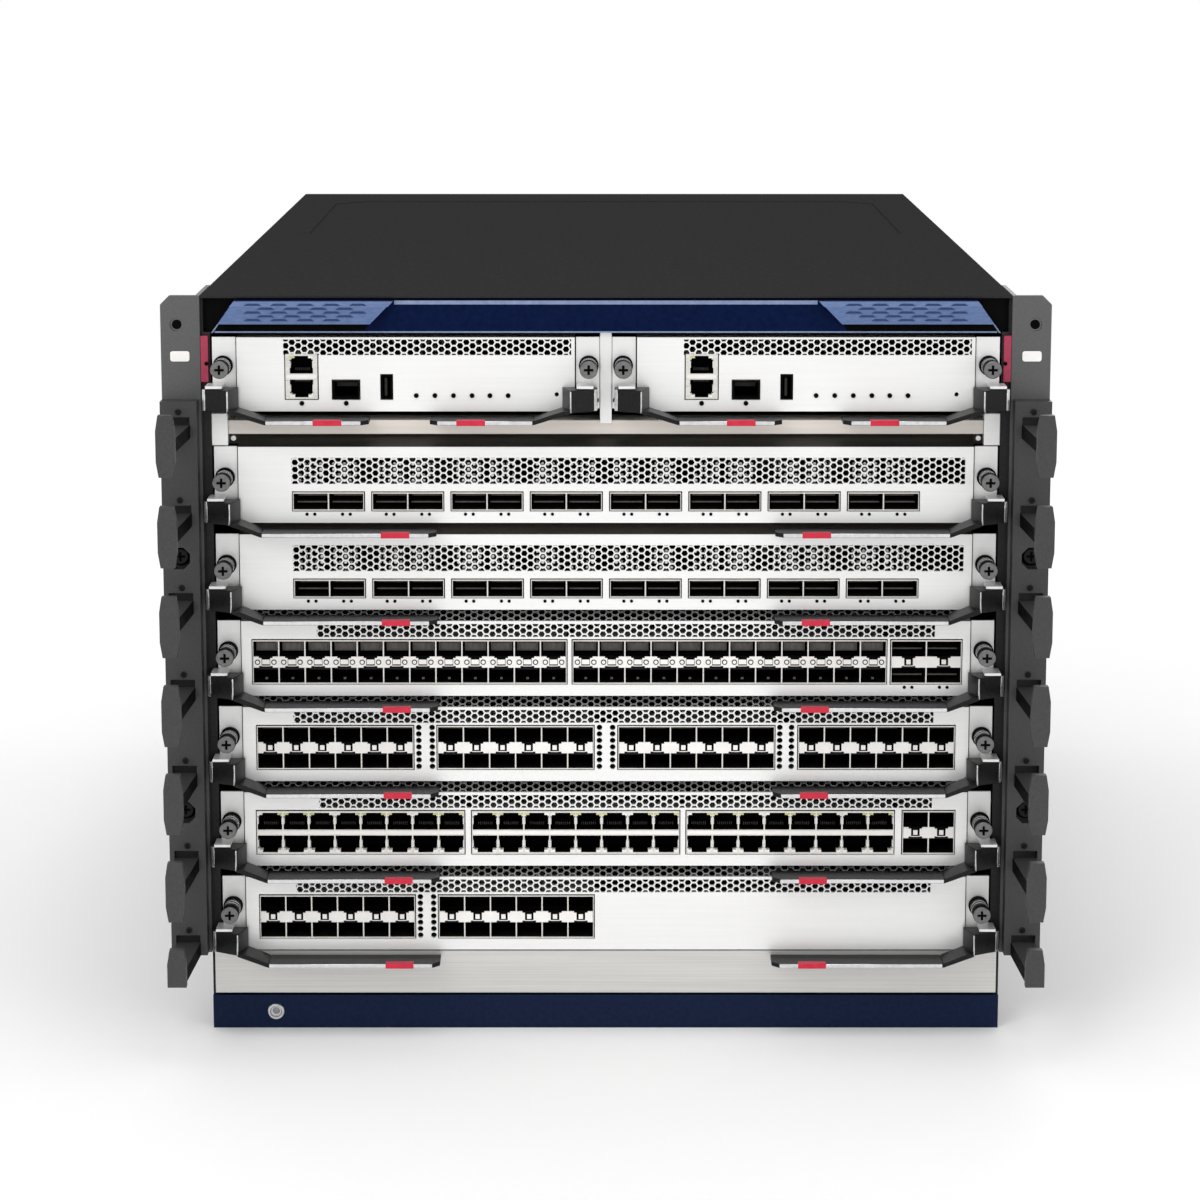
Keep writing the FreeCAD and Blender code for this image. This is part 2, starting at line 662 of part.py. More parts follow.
def port_sizes(kind):
    """Cell width, wall, block depth and pocket depth of one kind of port."""
    sizes = {"sfp": (SFP_CELL, CAGE_WALL, CAGE_DEPTH, CAGE_POCKET),
             "qsfp": (QSFP_CELL, CAGE_WALL, CAGE_DEPTH, CAGE_POCKET),
             "rj": (SFP_CELL, JACK_WALL, JACK_DEPTH, JACK_POCKET)}
    return sizes[kind]


def port_block(kind, x, columns, rows, z):
    """A ganged cage or jack block, open at the front."""
    cell, wall, depth, pocket = port_sizes(kind)
    solid = cage((x, x + columns * cell), z, port_height(rows), depth)
    mouths = []
    for row in range(rows):
        low = z + PORT_SILL + row * PORT_ROW_PITCH
        for column in range(columns):
            centre = x + (column + 0.5) * cell
            mouths.append(slot_opening(centre, low, cell - 2 * wall, pocket))
    return solid.cut(mouths)


def port_window(kind, x, columns, rows, z):
    """The faceplate's window around a port block."""
    cell = port_sizes(kind)[0]
    return block((x - PORT_FIT, x + columns * cell + PORT_FIT), THROUGH_PLATE,
                 (z - PORT_FIT, z + port_height(rows) + PORT_FIT))


def card_ports(index):
    """The port blocks of a line card: kind, left edge, columns and rows."""
    pairs = [("qsfp", QSFP_START_SHARE + i * QSFP_PAIR_SHARE, 2, 1) for i in range(QSFP_PAIR_COUNT)]
    layouts = [
        pairs,
        pairs,
        [("sfp", -0.96958, 12, 2), ("sfp", -0.09127, 12, 2), ("qsfp", 0.78304, 2, 2)],
        [("sfp", -0.9616, 6, 2), ("sfp", -0.46434, 6, 2), ("sfp", 0.03441, 6, 2), ("sfp", 0.53067, 6, 2)],
        [("rj", -0.96608, 8, 2), ("rj", -0.37057, 8, 2), ("rj", 0.22344, 8, 2), ("sfp", 0.82195, 2, 2)],
        [("sfp", -0.9616, 6, 2), ("sfp", -0.46434, 6, 2)],
    ]
    layout = layouts[index % len(layouts)]
    return [(kind, share * PLATE_HALF, columns, rows) for kind, share, columns, rows in layout]


def vent_slots(x, count, heights, base):
    """A row of stretched hexagons across a faceplate."""
    pitch = (x[1] - x[0]) / count
    half = (pitch - VENT_BAR) / 2
    middle = base + sum(heights) / 2
    rise = (heights[1] - heights[0]) / 2
    slots = []
    for index in range(count):
        centre = x[0] + (index + 0.5) * pitch
        flat = half - VENT_POINT
        outline = [(centre - half, middle), (centre - flat, middle - rise), (centre + flat, middle - rise),
                   (centre + half, middle), (centre + flat, middle + rise), (centre - flat, middle + rise)]
        slots.append(prism_y(outline, THROUGH_PLATE))
    return slots


# Faceplates

def captive_screw(x, z):
    """A sleeve on the wing and the screw's broad head."""
    base = FRONT + PLATE
    neck = base - SCREW_SLEEVE_LENGTH
    return [small_rod_y(x, z, SCREW_SLEEVE_RADIUS, (base, neck), PIN_SIDES),
            small_rod_y(x, z, SCREW_HEAD_RADIUS, (neck, neck - SCREW_HEAD_LENGTH))]


def wing(x, base, height):
    """An end bracket behind the faceplate, for the captive screw."""
    back = FRONT + PLATE + WING_THICKNESS
    return block(x, (FRONT + PLATE, back), (base + WING_BOTTOM, base + height))


def hinge(pivot, wing_x, base):
    """The tab and the pin that a lever turns on."""
    tab_x = (pivot - HINGE_TAB_HALF, pivot + HINGE_TAB_HALF)
    level = (base + WING_BOTTOM, base + WING_BOTTOM + HINGE_TAB_SHEET)
    low, high = max(tab_x[0], min(wing_x)), min(tab_x[1], max(wing_x))
    ahead = FRONT - HINGE_TAB_AHEAD
    tab = block(tab_x, (ahead, FRONT + LEVER_CLEARANCE), level)
    root = block((low, high), (ahead, FRONT + PLATE + WING_THICKNESS), level)
    pin = pin_z(pivot, FRONT - PIVOT_AHEAD, PIN_RADIUS,
                (base + LEVER_BASE, base + WING_BOTTOM + HINGE_TAB_SHEET))
    return [tab, root, pin]


def folded_plate(x, base, height):
    """A faceplate's sheet with lips folded back along its top and bottom."""
    front = block(x, (FRONT, FRONT + PLATE), (base, base + height))
    top = block(x, (FRONT, FRONT + PLATE + TOP_LIP_DEPTH), (base + height - LIP_SHEET, base + height))
    bottom = block(x, (FRONT, FRONT + PLATE + BOTTOM_LIP_DEPTH), (base, base + LIP_SHEET))
    return [front, top, bottom]


def faceplate(plate_x, wings, pivots, screws, base, height, cuts):
    pieces = folded_plate(plate_x, base, height)
    for wing_x, pivot, screw in zip(wings, pivots, screws):
        pieces.append(wing(wing_x, base, height))
        pieces += hinge(pivot, wing_x, base)
        pieces += captive_screw(screw, base + SCREW_RISE)
    return join(pieces).cut(cuts)


def card_faceplate(index):
    base = card_z(index)
    half = PLATE_HALF
    wings = [(-MODULE_EDGE, -half + WING_OVERLAP), (half - WING_OVERLAP, MODULE_EDGE)]
    pivot = LEVER_OUTER_EDGE - PIVOT_FROM_EDGE
    screw = MODULE_EDGE - SCREW_INSET
    cuts = [port_window(kind, x, columns, rows, base + PORT_Z)
            for kind, x, columns, rows in card_ports(index)]
    tall = card_ports(index)[0][3] == 1
    across = [share * half for share in CARD_VENT_SHARES]
    cuts += vent_slots(across, VENT_COUNT, TALL_VENT_HEIGHTS if tall else LOW_VENT_HEIGHTS, base)
    return faceplate((-half, half), wings, (-pivot, pivot), (-screw, screw), base, CARD_HEIGHT, cuts)


def control_middle():
    return (CENTRE_GAP + MODULE_EDGE) / 2


def control_connector_half():
    return (MODULE_EDGE - CENTRE_GAP) / 2 - CONTROL_CONNECTOR_INSET


def across_control(left, shares):
    """Places across a control module, from its left edge."""
    return [left + share * CONTROL_WIDTH for share in shares]


def control_port_boxes(left):
    """The sides and the height of the jack stack, the cage and the upright socket."""
    return [(across_control(left, CONTROL_JACK_SHARES), PORT_DOUBLE_HEIGHT),
            (across_control(left, CONTROL_CAGE_SHARES), PORT_SINGLE_HEIGHT),
            (across_control(left, CONTROL_USB_SHARES), USB_HEIGHT)]


def control_faceplate(left):
    """A half-width faceplate; left is the module's left edge."""
    right = left + CONTROL_WIDTH
    inset = CONTROL_WING + CONTROL_WING_GAP
    plate_x = (left + inset, right - inset)
    wings = [(left, plate_x[0] + WING_OVERLAP), (plate_x[1] - WING_OVERLAP, right)]
    screws = (left + SCREW_INSET, right - SCREW_INSET)
    z = CONTROL_Z + PORT_Z
    cuts = [block((x[0] - PORT_FIT, x[1] + PORT_FIT), THROUGH_PLATE, (z - PORT_FIT, z + height + PORT_FIT))
            for x, height in control_port_boxes(left)]
    vent = across_control(left, CONTROL_VENT_SHARES)
    cuts += vent_slots(vent, CONTROL_VENT_COUNT, CONTROL_VENT_HEIGHTS, CONTROL_Z)
    reset_x = left + RESET_SHARE * CONTROL_WIDTH
    cuts.append(small_hole_y(reset_x, CONTROL_Z + RESET_RISE, RESET_RADIUS, THROUGH_PLATE, PIN_SIDES))
    return faceplate(plate_x, wings, control_pivots(left), screws, CONTROL_Z, CONTROL_HEIGHT, cuts)


def control_pivots(left):
    """Where the levers of a control module turn: the outer lever lies further out than its wing."""
    outer = LEVER_OUTER_EDGE - PIVOT_FROM_EDGE
    inner = LEVER_INNER_EDGE + PIVOT_FROM_EDGE
    return (-outer, -inner) if left < 0 else (inner, outer)


# Boards

def board(x, nose_x, connector_x, base):
    """A circuit board, narrower at the front, with its rear connector."""
    nose_end = FRONT + PLATE + BOARD_NOSE_DEPTH
    level = (base + BOARD_RISE, base + PORT_Z)
    return [block(nose_x, (FRONT + PLATE, nose_end), level), block(x, (nose_end, BOARD_END), level),
            block(connector_x, (BOARD_END - CONNECTOR_DEPTH, BOARD_END),
                  (base + PORT_Z, base + PORT_Z + CONNECTOR_HEIGHT))]


def card_board(index):
    base = card_z(index)
    half = RAIL_INNER - CARD_CONNECTOR_INSET
    pieces = board((-BOARD_HALF_WIDTH, BOARD_HALF_WIDTH), (-BOARD_NOSE, BOARD_NOSE), (-half, half), base)
    pieces += [port_block(kind, x, columns, rows, base + PORT_Z)
               for kind, x, columns, rows in card_ports(index)]
    return join(pieces)


def control_board(left):
    right = left + CONTROL_WIDTH
    edge, gap = BOARD_HALF_WIDTH, DIVIDER_HALF_WIDTH + DIVIDER_CLEARANCE
    sides = (-edge, -gap) if left < 0 else (gap, edge)
    inset = BOARD_NOSE_INSET
    middle, half = (left + right) / 2, control_connector_half()
    pieces = board(sides, (left + inset, right - inset), (middle - half, middle + half), CONTROL_Z)
    z = CONTROL_Z + PORT_Z
    (jack, jack_height), (small_cage, cage_height), (usb, usb_height) = control_port_boxes(left)
    stack = cage(jack, z, jack_height, JACK_DEPTH)
    mouth_width = jack[1] - jack[0] - 2 * CONTROL_JACK_WALL
    rows = [jack_opening(sum(jack) / 2, z + PORT_SILL + row * PORT_ROW_PITCH, mouth_width, row == 1)
            for row in range(2)]
    pieces.append(stack.cut(rows))
    small = cage(small_cage, z, cage_height, CAGE_DEPTH)
    cage_width = small_cage[1] - small_cage[0] - 2 * CAGE_WALL
    pieces.append(small.cut(slot_opening(sum(small_cage) / 2, z + PORT_SILL, cage_width, CAGE_POCKET)))
    shell = cage(usb, z, usb_height, USB_DEPTH)
    mouth = block((usb[0] + USB_WALL, usb[1] - USB_WALL), (FRONT - OVERRUN, FRONT + USB_POCKET),
                  (z + USB_WALL, z + usb_height - USB_WALL))
    pieces.append(shell.cut(mouth))
    return join(pieces)


# Ejector levers

def lever(edge, reach, base):
    """A lever whose outer edge is at edge and whose bar runs towards +X."""
    rear, near, ridge = FRONT - LEVER_CLEARANCE, FRONT - LEVER_NEAR_DEPTH, FRONT - LEVER_ROOT_DEPTH
    root_end = edge + LEVER_ROOT_WIDTH
    root = prism_z([(edge, rear), (edge, near), (edge + LEVER_RIDGE_AT, ridge),
                    (root_end, ridge + LEVER_RIDGE_FALL), (root_end, rear)],
                   (base + LEVER_BASE, base + LEVER_TOP))
    bar_top = base - LEVER_BAR_DROP
    bar_low = bar_top - LEVER_BAR_SHEET
    arm_start = edge + LEVER_RIDGE_AT
    arm_end = edge + LEVER_ARM_END
    bar_y = (rear - LEVER_BAR_DEPTH, rear)
    arm_top = base + LEVER_BASE + LEVER_ARM_RISE
    arm = prism_y([(arm_start, base + LEVER_BASE), (arm_end, bar_low), (arm_end, bar_top),
                   (root_end, arm_top), (arm_start, arm_top)], bar_y)
    bar = prism_z([(arm_end, rear), (arm_end, bar_y[0]), (edge + reach - LEVER_CORNER, bar_y[0]),
                   (edge + reach, bar_y[0] + LEVER_CORNER), (edge + reach, rear)], (bar_low, bar_top))
    bore = pin_hole_z(edge + PIVOT_FROM_EDGE, FRONT - PIVOT_AHEAD, PIN_RADIUS + PIN_CLEARANCE,
                      (base + LEVER_BASE - OVERRUN, base + LEVER_TOP + OVERRUN))
    return join([root, arm, bar]).cut(bore)


# Rear modules

def power_supply(index):
    """A sealed supply with an inlet and a fixed grip at the rear."""
    x0, x1 = power_x(index) - POWER_WIDTH / 2, power_x(index) + POWER_WIDTH / 2
    z0, z1 = SHEET + SEAT_GAP, SHELF_TOP - SHEET - POWER_TOP_GAP
    case = block((x0, x1), (REAR - POWER_DEPTH, REAR), (z0, z1))
    middle = (z0 + z1) / 2
    inlet_x = x0 + INLET_FROM_EDGE
    inlet = block((inlet_x, inlet_x + INLET_WIDTH), (REAR - INLET_DEPTH, REAR + OVERRUN),
                  (middle - INLET_HEIGHT / 2, middle + INLET_HEIGHT / 2))
    grip_x = x1 - INLET_FROM_EDGE
    half = GRIP_HEIGHT / 2
    bar = block((grip_x - GRIP_BAR, grip_x), (REAR, REAR + GRIP_REACH), (middle - half, middle + half))
    gap = block((grip_x - 2 * GRIP_BAR, grip_x + GRIP_BAR), (REAR, REAR + GRIP_REACH - GRIP_BAR),
                (middle - half + GRIP_BAR, middle + half - GRIP_BAR))
    return join([case.cut(inlet), bar.cut(gap)])


def fan_centre(row):
    return TRAY_Z + (row + 0.5) * FAN_PITCH


def fan_mouth(row):
    """The four openings between a fan's spokes."""
    z = fan_centre(row)
    depth = (REAR - TRAY_SHEET - OVERRUN, REAR + OVERRUN)
    disc = prism_y([(FAN_X + dx, z + dz) for dx, dz in ring(FAN_OPENING_RADIUS, MOUTH_SIDES)], depth)
    half = SPOKE_WIDTH / 2
    far = FAN_OPENING_RADIUS + OVERRUN
    spokes = [block((FAN_X - far, FAN_X + far), depth, (z - half, z + half)),
              block((FAN_X - half, FAN_X + half), depth, (z - far, z + far)),
              small_rod_y(FAN_X, z, FAN_HUB_RADIUS, depth)]
    return disc.cut(spokes)


def fan_tray():
    """The right tray seen from the front: an open-fronted box whose rear wall carries the fans."""
    x = (TRAY_INNER_X + TRAY_FIT, TRAY_OUTER_X - TRAY_FIT)
    z = (TRAY_Z, FAN_AREA_TOP - TRAY_FIT)
    y = (REAR - TRAY_DEPTH, REAR)
    box = block(x, y, z)
    inner = block((x[0] + TRAY_WALL, x[1] - TRAY_WALL), (y[0] - OVERRUN, y[1] - TRAY_SHEET),
                  (z[0] + TRAY_WALL, z[1] - TRAY_WALL))
    along = (REAR - TRAY_SHEET - FAN_SHAFT_LENGTH, REAR)
    shaft = [small_rod_y(FAN_X, fan_centre(row), FAN_SHAFT_RADIUS, along) for row in range(FANS_PER_TRAY)]
    tray = box.cut([inner] + [fan_mouth(row) for row in range(FANS_PER_TRAY)])
    middle, half = (z[0] + z[1]) / 2, TRAY_GRIP_HEIGHT / 2
    bar = block((x[1] - 4 * GRIP_BAR, x[1] - 3 * GRIP_BAR), (REAR, REAR + GRIP_REACH),
                (middle - half, middle + half))
    gap = block((x[1] - 5 * GRIP_BAR, x[1]), (REAR, REAR + GRIP_REACH - GRIP_BAR),
                (middle - half + GRIP_BAR, middle + half - GRIP_BAR))
    return join([tray, bar.cut(gap)] + shaft)


def fan_rotor(row):
    """A hub with leaning blades, bored for the tray's shaft."""
    z = fan_centre(row)
    back = REAR - TRAY_SHEET - FAN_SETBACK
    front = back - FAN_HEIGHT
    hub = small_rod_y(FAN_X, z, FAN_HUB_RADIUS, (front, back))
    blades = []
    root = FAN_HUB_RADIUS - FAN_BLADE_ROOT
    reach = FAN_HEIGHT * FAN_BLADE_SLANT_LENGTH / 2
    for index in range(FAN_BLADES):
        blade = block((-FAN_BLADE_SHEET / 2, FAN_BLADE_SHEET / 2),
                      (-reach, reach), (root, FAN_BLADE_RADIUS))
        blade.rotate(V(0, 0, 0), V(0, 0, 1), FAN_BLADE_LEAN)
        blade = blade.common(block((-HALF, HALF), (-FAN_HEIGHT / 2, FAN_HEIGHT / 2), (0, HALF)))
        blade.rotate(V(0, 0, 0), V(0, 1, 0), index * 360.0 / FAN_BLADES)
        blades.append(moved(blade, FAN_X, (front + back) / 2, z))
    bore = small_hole_y(FAN_X, z, FAN_SHAFT_RADIUS + FAN_SHAFT_CLEARANCE,
                        (REAR - TRAY_SHEET - FAN_SHAFT_LENGTH - OVERRUN, back + OVERRUN))
    return join([hub] + blades).cut(bore)


def save_levers():
    for index in range(CARD_COUNT):
        left = lever(-LEVER_OUTER_EDGE, CARD_LEVER_REACH, card_z(index))
        save(f"card_{index + 1}_left_lever", left)
        save(f"card_{index + 1}_right_lever", mirrored(left))
    outer = lever(-LEVER_OUTER_EDGE, CONTROL_LEVER_REACH, CONTROL_Z)
    inner = mirrored(lever(LEVER_INNER_EDGE, CONTROL_LEVER_REACH, CONTROL_Z))
    save("left_control_outer_lever", outer)
    save("left_control_inner_lever", inner)
    save("right_control_outer_lever", mirrored(outer))
    save("right_control_inner_lever", mirrored(inner))


def save_modules():
    for index in range(CARD_COUNT):
        save(f"card_{index + 1}_faceplate", card_faceplate(index))
        save(f"card_{index + 1}_board", card_board(index))
    for side, left in (("left", -MODULE_EDGE), ("right", CENTRE_GAP)):
        save(f"{side}_control_faceplate", control_faceplate(left))
        save(f"{side}_control_board", control_board(left))


def save_rear():
    tray = fan_tray()
    save("right_fan_tray", tray)
    save("left_fan_tray", mirrored(tray))
    for row in range(FANS_PER_TRAY):
        rotor = fan_rotor(row)
        save(f"right_fan_rotor_{row + 1}", rotor)
        save(f"left_fan_rotor_{row + 1}", mirrored(rotor))
    for index in range(POWER_COUNT):
        save(f"power_supply_{index + 1}", power_supply(index))


def save_chassis():
    save("chassis_tub", chassis_tub())
    save("top_cover", top_cover())
    save("rear_frame", rear_frame())
    save("power_shelf", power_shelf())
    save("lower_panel", lower_panel())
    save("base_band", base_band())
    save("ground_socket", ground_socket())
    save("top_fascia", top_fascia())
    save_pair("rack_ear", rack_ear())
    save_pair("cable_guide", cable_guide())
    save("guide_screws", guide_screws())
    save_pair("card_guides", card_guides())
    save("bay_frame", bay_frame())
    save("side_tabs", side_tabs())
    save("midplane", midplane())


save_chassis()
save_modules()
save_levers()
save_rear()
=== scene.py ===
import math

import bmesh
import bpy
from bpy.props import FloatProperty, IntProperty, PointerProperty
from mathutils import Matrix, Vector


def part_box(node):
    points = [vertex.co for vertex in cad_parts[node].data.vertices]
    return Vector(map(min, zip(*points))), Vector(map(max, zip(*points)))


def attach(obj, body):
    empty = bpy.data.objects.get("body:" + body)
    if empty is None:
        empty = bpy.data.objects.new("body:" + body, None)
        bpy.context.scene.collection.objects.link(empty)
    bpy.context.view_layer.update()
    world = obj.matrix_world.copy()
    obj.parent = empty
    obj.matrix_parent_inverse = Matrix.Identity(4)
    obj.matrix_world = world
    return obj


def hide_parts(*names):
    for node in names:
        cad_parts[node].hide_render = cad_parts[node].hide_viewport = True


bl_info = {
    "name": "Modular chassis switch",
    "version": (1, 0, 0),
    "blender": (4, 5, 0),
    "location": "View3D > Sidebar > Switch",
    "description": "Builds the finished look of a modular chassis switch round its CAD frame",
    "category": "Object",
}

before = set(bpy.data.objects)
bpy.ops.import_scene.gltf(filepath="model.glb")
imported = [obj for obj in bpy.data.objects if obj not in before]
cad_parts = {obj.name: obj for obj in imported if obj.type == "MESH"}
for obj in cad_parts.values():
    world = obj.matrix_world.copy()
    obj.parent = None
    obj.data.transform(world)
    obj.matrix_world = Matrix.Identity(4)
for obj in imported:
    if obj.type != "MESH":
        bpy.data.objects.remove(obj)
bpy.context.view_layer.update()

# Places read from the CAD frame, in metres: +X right seen from the front, +Y to the rear, +Z up.
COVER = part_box("top_cover")
FRONT, REAR = COVER[0].y, COVER[1].y
HALF = COVER[1].x
CARDS = [f"card_{number}" for number in range(1, 7)]
CONTROLS = ["left_control", "right_control"]

# Distances that several pieces share
FIT = 0.0006  # between a block of sockets and its window
POST = 0.0035  # from the middle of the object to a control module
SCREW_INSET = 0.0058  # from a module's edge to its captive screw
PIVOT_INSET = 0.0082  # from the body's side to a lever's pivot
HOLE_INSET = 0.00875  # from an ear's outer edge to its holes
TAB = 0.0132  # width that a board's nose leaves free for the lever beside it
RAIL = 0.2148  # from the middle to the outer edge of the bay's posts
POST_WIDTH = 0.0088
BAY_DEPTH = 0.024  # where the bay's beam and posts end behind the front
PAD_INSET, PAD_WIDTH, PAD_RISE = 0.0191, 0.0863, 0.0125  # the fascia's pads
PAD_SLANT = 0.0128  # how far a pad's end runs in over its height
OUTWARD = 0.0128 / 0.0179  # the slope of a pad's outer end


# Spans and bmeshes

def about(centre, half):
    """The (low, high) pair round a centre."""
    return (centre - half, centre + half)


def shrink(span, margin):
    return (span[0] + margin, span[1] - margin)


def behind(low, high):
    """A (low, high) pair of depths counted back from the front."""
    return (FRONT + low, FRONT + high)


def blanks(count):
    return [bmesh.new() for _ in range(count)]


def verts_in(parts):
    return [part for part in parts if isinstance(part, bmesh.types.BMVert)]


def whole(bm):
    return bm.verts[:] + bm.edges[:] + bm.faces[:]


# Shape helpers: each works on a bmesh in metres

def box(bm, x, y, z):
    """Adds a box between three pairs of ends."""
    spans = (x, y, z)
    centre = [(low + high) / 2 for low, high in spans]
    size = [abs(high - low) for low, high in spans]
    place = Matrix.Translation(centre) @ Matrix.Diagonal((*size, 1.0))
    return bmesh.ops.create_cube(bm, size=1.0, matrix=place)["verts"]


def rod(bm, place, radius, length, axis="Y", sides=24, end_radius=None):
    """Adds a bar centred on place; end_radius makes it a cone that ends further along the axis."""
    turns = {"X": Matrix.Rotation(math.pi / 2, 4, "Y"), "Y": Matrix.Rotation(-math.pi / 2, 4, "X"),
             "Z": Matrix.Identity(4)}
    second = radius if end_radius is None else end_radius
    bmesh.ops.create_cone(bm, cap_ends=True, segments=sides, radius1=radius, radius2=second, depth=length,
                          matrix=Matrix.Translation(place) @ turns[axis])


def outline(bm, points):
    """Adds one face through the points."""
    return bm.faces.new([bm.verts.new(point) for point in points])


def extrude(bm, faces, vector):
    """Draws faces along a vector into closed solids."""
    made = bmesh.ops.extrude_face_region(bm, geom=faces)["geom"]
    bmesh.ops.translate(bm, vec=vector, verts=verts_in(made))


def prism_xz(bm, points, y):
    extrude(bm, [outline(bm, [(x, y[0], z) for x, z in points])], (0, y[1] - y[0], 0))


def prism_xy(bm, points, z):
    extrude(bm, [outline(bm, [(x, y, z[0]) for x, y in points])], (0, 0, z[1] - z[0]))


def absorb(target, source, matrix=Matrix.Identity(4)):
    """Moves everything of source into target and frees source."""
    bmesh.ops.transform(source, matrix=matrix, verts=source.verts)
    mesh = bpy.data.meshes.new("moved")
    source.to_mesh(mesh)
    source.free()
    target.from_mesh(mesh)
    bpy.data.meshes.remove(mesh)


def repeat(bm, count, vector, sway=(0, 0, 0)):
    """Copies all that is there, count times in all, one vector apart; every second copy also sways."""
    first = whole(bm)
    for index in range(1, count):
        copy = bmesh.ops.duplicate(bm, geom=first)["geom"]
        away = [along * index + aside * (index % 2) for along, aside in zip(vector, sway)]
        bmesh.ops.translate(bm, vec=away, verts=verts_in(copy))


def lathe(bm, parts, centre, steps):
    """Turns a profile once round the Y axis through centre."""
    bmesh.ops.spin(bm, geom=parts, cent=centre, axis=(0, 1, 0), angle=2 * math.pi, steps=steps,
                   use_merge=True)


def piece(name, bm, body, slot, material, bevel=0.0, segments=2, smooth=35.0):
    """Makes an object of a bmesh, gives it its finish and lets it ride on its body."""
    bmesh.ops.recalc_face_normals(bm, faces=bm.faces)
    limit = math.radians(smooth)
    for face in bm.faces:
        face.smooth = True
    for edge in bm.edges:
        edge.smooth = edge.calc_face_angle(math.pi) < limit
    mesh = bpy.data.meshes.new(name)
    bm.to_mesh(mesh)
    bm.free()
    obj = bpy.data.objects.new(name, mesh)
    bpy.context.scene.collection.objects.link(obj)
    mesh.materials.append(finish(material))
    if bevel:
        soften(obj, bevel, segments)
    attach(obj, body)
    return obj


def pieces(name, body, slot, *rows):
    """Makes pieces with one body; the slot is not used. A row is a name's end, a bmesh, a finish and any
    bevel.
    """
    return [piece(f"{name}_{end}", bm, body, slot, material, *more) for end, bm, material, *more in rows]


def soften(obj, width, segments=2):
    modifier = obj.modifiers.new("edges", "BEVEL")
    modifier.width = width
    modifier.segments = segments
    modifier.limit_method = "ANGLE"
    modifier.angle_limit = math.radians(40)


# Perforated sheets: drawn flat in u and v, then drawn back to their thickness

def cut(bm, side, line, way=1, clear=False):
    """Cuts a flat sheet along a line of u (side 0) or v (side 1); clear drops what lies beyond it."""
    place, normal = [0, 0, 0], [0, 0, 0]
    place[side], normal[side] = line, way
    bmesh.ops.bisect_plane(bm, geom=whole(bm), dist=1e-7, plane_co=place, plane_no=normal, clear_outer=clear)


def cut_windows(bm, windows):
    """Cuts rectangles out of a flat sheet."""
    for side in (0, 1):
        for line in sorted({window[side][end] for window in windows for end in (0, 1)}):
            cut(bm, side, line)
    gone = []
    for face in bm.faces:
        middle = face.calc_center_median()
        if any(u[0] < middle.x < u[1] and v[0] < middle.y < v[1] for u, v in windows):
            gone.append(face)
    bmesh.ops.delete(bm, geom=gone, context="FACES")


def honeycomb(u, v, first, pitch, bar):
    """A flat field of six-sided holes, cut off straight at u and v; first is the middle of one hole."""
    bm = bmesh.new()
    radius, step = pitch / math.sqrt(3), pitch * math.sqrt(3) / 2
    left = math.ceil((first[0] - u[0]) / step) + 1
    left += left % 2
    below = math.ceil((first[1] - v[0]) / pitch) + 1
    columns = left + math.ceil((u[1] - first[0]) / step) + 2
    rows = below + math.ceil((v[1] - first[1]) / pitch) + 2
    corner = Matrix.Translation((first[0] - left * step, first[1] - below * pitch, 0))
    bmesh.ops.create_circle(bm, cap_ends=True, segments=6, radius=radius,
                            matrix=corner @ Matrix.Rotation(math.pi / 6, 4, "Z"))
    hole = bm.faces[:]
    bmesh.ops.inset_individual(bm, faces=hole, thickness=bar / 2, use_even_offset=True)
    bmesh.ops.delete(bm, geom=hole, context="FACES")
    repeat(bm, rows, (0, pitch, 0))
    repeat(bm, columns, (step, 0, 0), (0, -pitch / 2, 0))
    bmesh.ops.remove_doubles(bm, verts=bm.verts, dist=1e-6)
    for side, span in enumerate((u, v)):
        for line, way in zip(span, (-1, 1)):
            cut(bm, side, line, way, True)
    return bm


def round_hole(bm, place, half, radius, sides=16):
    """Fills a square window of that half width with a flat ring round a hole."""
    centre = Vector((*place, 0))
    outer, inner = (bmesh.ops.create_circle(bm, segments=sides, radius=reach,
                                            matrix=Matrix.Translation(centre))["verts"]
                    for reach in (half, radius))
    for vert in outer:
        away = vert.co - centre
        vert.co += away * (half / max(abs(away.x), abs(away.y)) - 1)
    rims = {edge for vert in outer + inner for edge in vert.link_edges}
    bmesh.ops.bridge_loops(bm, edges=list(rims))


def perforated(u, v, windows=(), fields=(), holes=(), hex_size=(0.0039, 0.0007), sheet=0.002):
    """A sheet between u and v, its front at w = 0, with plain windows, honeycomb fields and round holes."""
    bm = bmesh.new()
    outline(bm, [(u[0], v[0], 0), (u[1], v[0], 0), (u[1], v[1], 0), (u[0], v[1], 0)])
    squares = [(about(x, reach), about(z, reach)) for x, z, radius, reach in holes]
    cut_windows(bm, [*windows, *(field[:2] for field in fields), *squares])
    for area_u, area_v, first in fields:
        absorb(bm, honeycomb(area_u, area_v, first, *hex_size))
    for x, z, radius, reach in holes:
        round_hole(bm, (x, z), reach, radius)
    bmesh.ops.recalc_face_normals(bm, faces=bm.faces)
    extrude(bm, bm.faces[:], (0, 0, -sheet))
    return bm


def rim(u, v, wall, sheet):
    """A frame with one window."""
    return perforated(u, v, [(shrink(u, wall), shrink(v, wall))], sheet=sheet)


def facing_front(y):
    """Turns a flat sheet's u and v to X and Z, with its front at y."""
    return Matrix.Translation((0, y, 0)) @ Matrix.Rotation(math.pi / 2, 4, "X")


def facing_rear(y):
    """The same for a sheet seen from behind: u runs to -X."""
    half_turn = Matrix.Rotation(math.pi, 4, "Z")
    return Matrix.Translation((0, y, 0)) @ half_turn @ Matrix.Rotation(math.pi / 2, 4, "X")


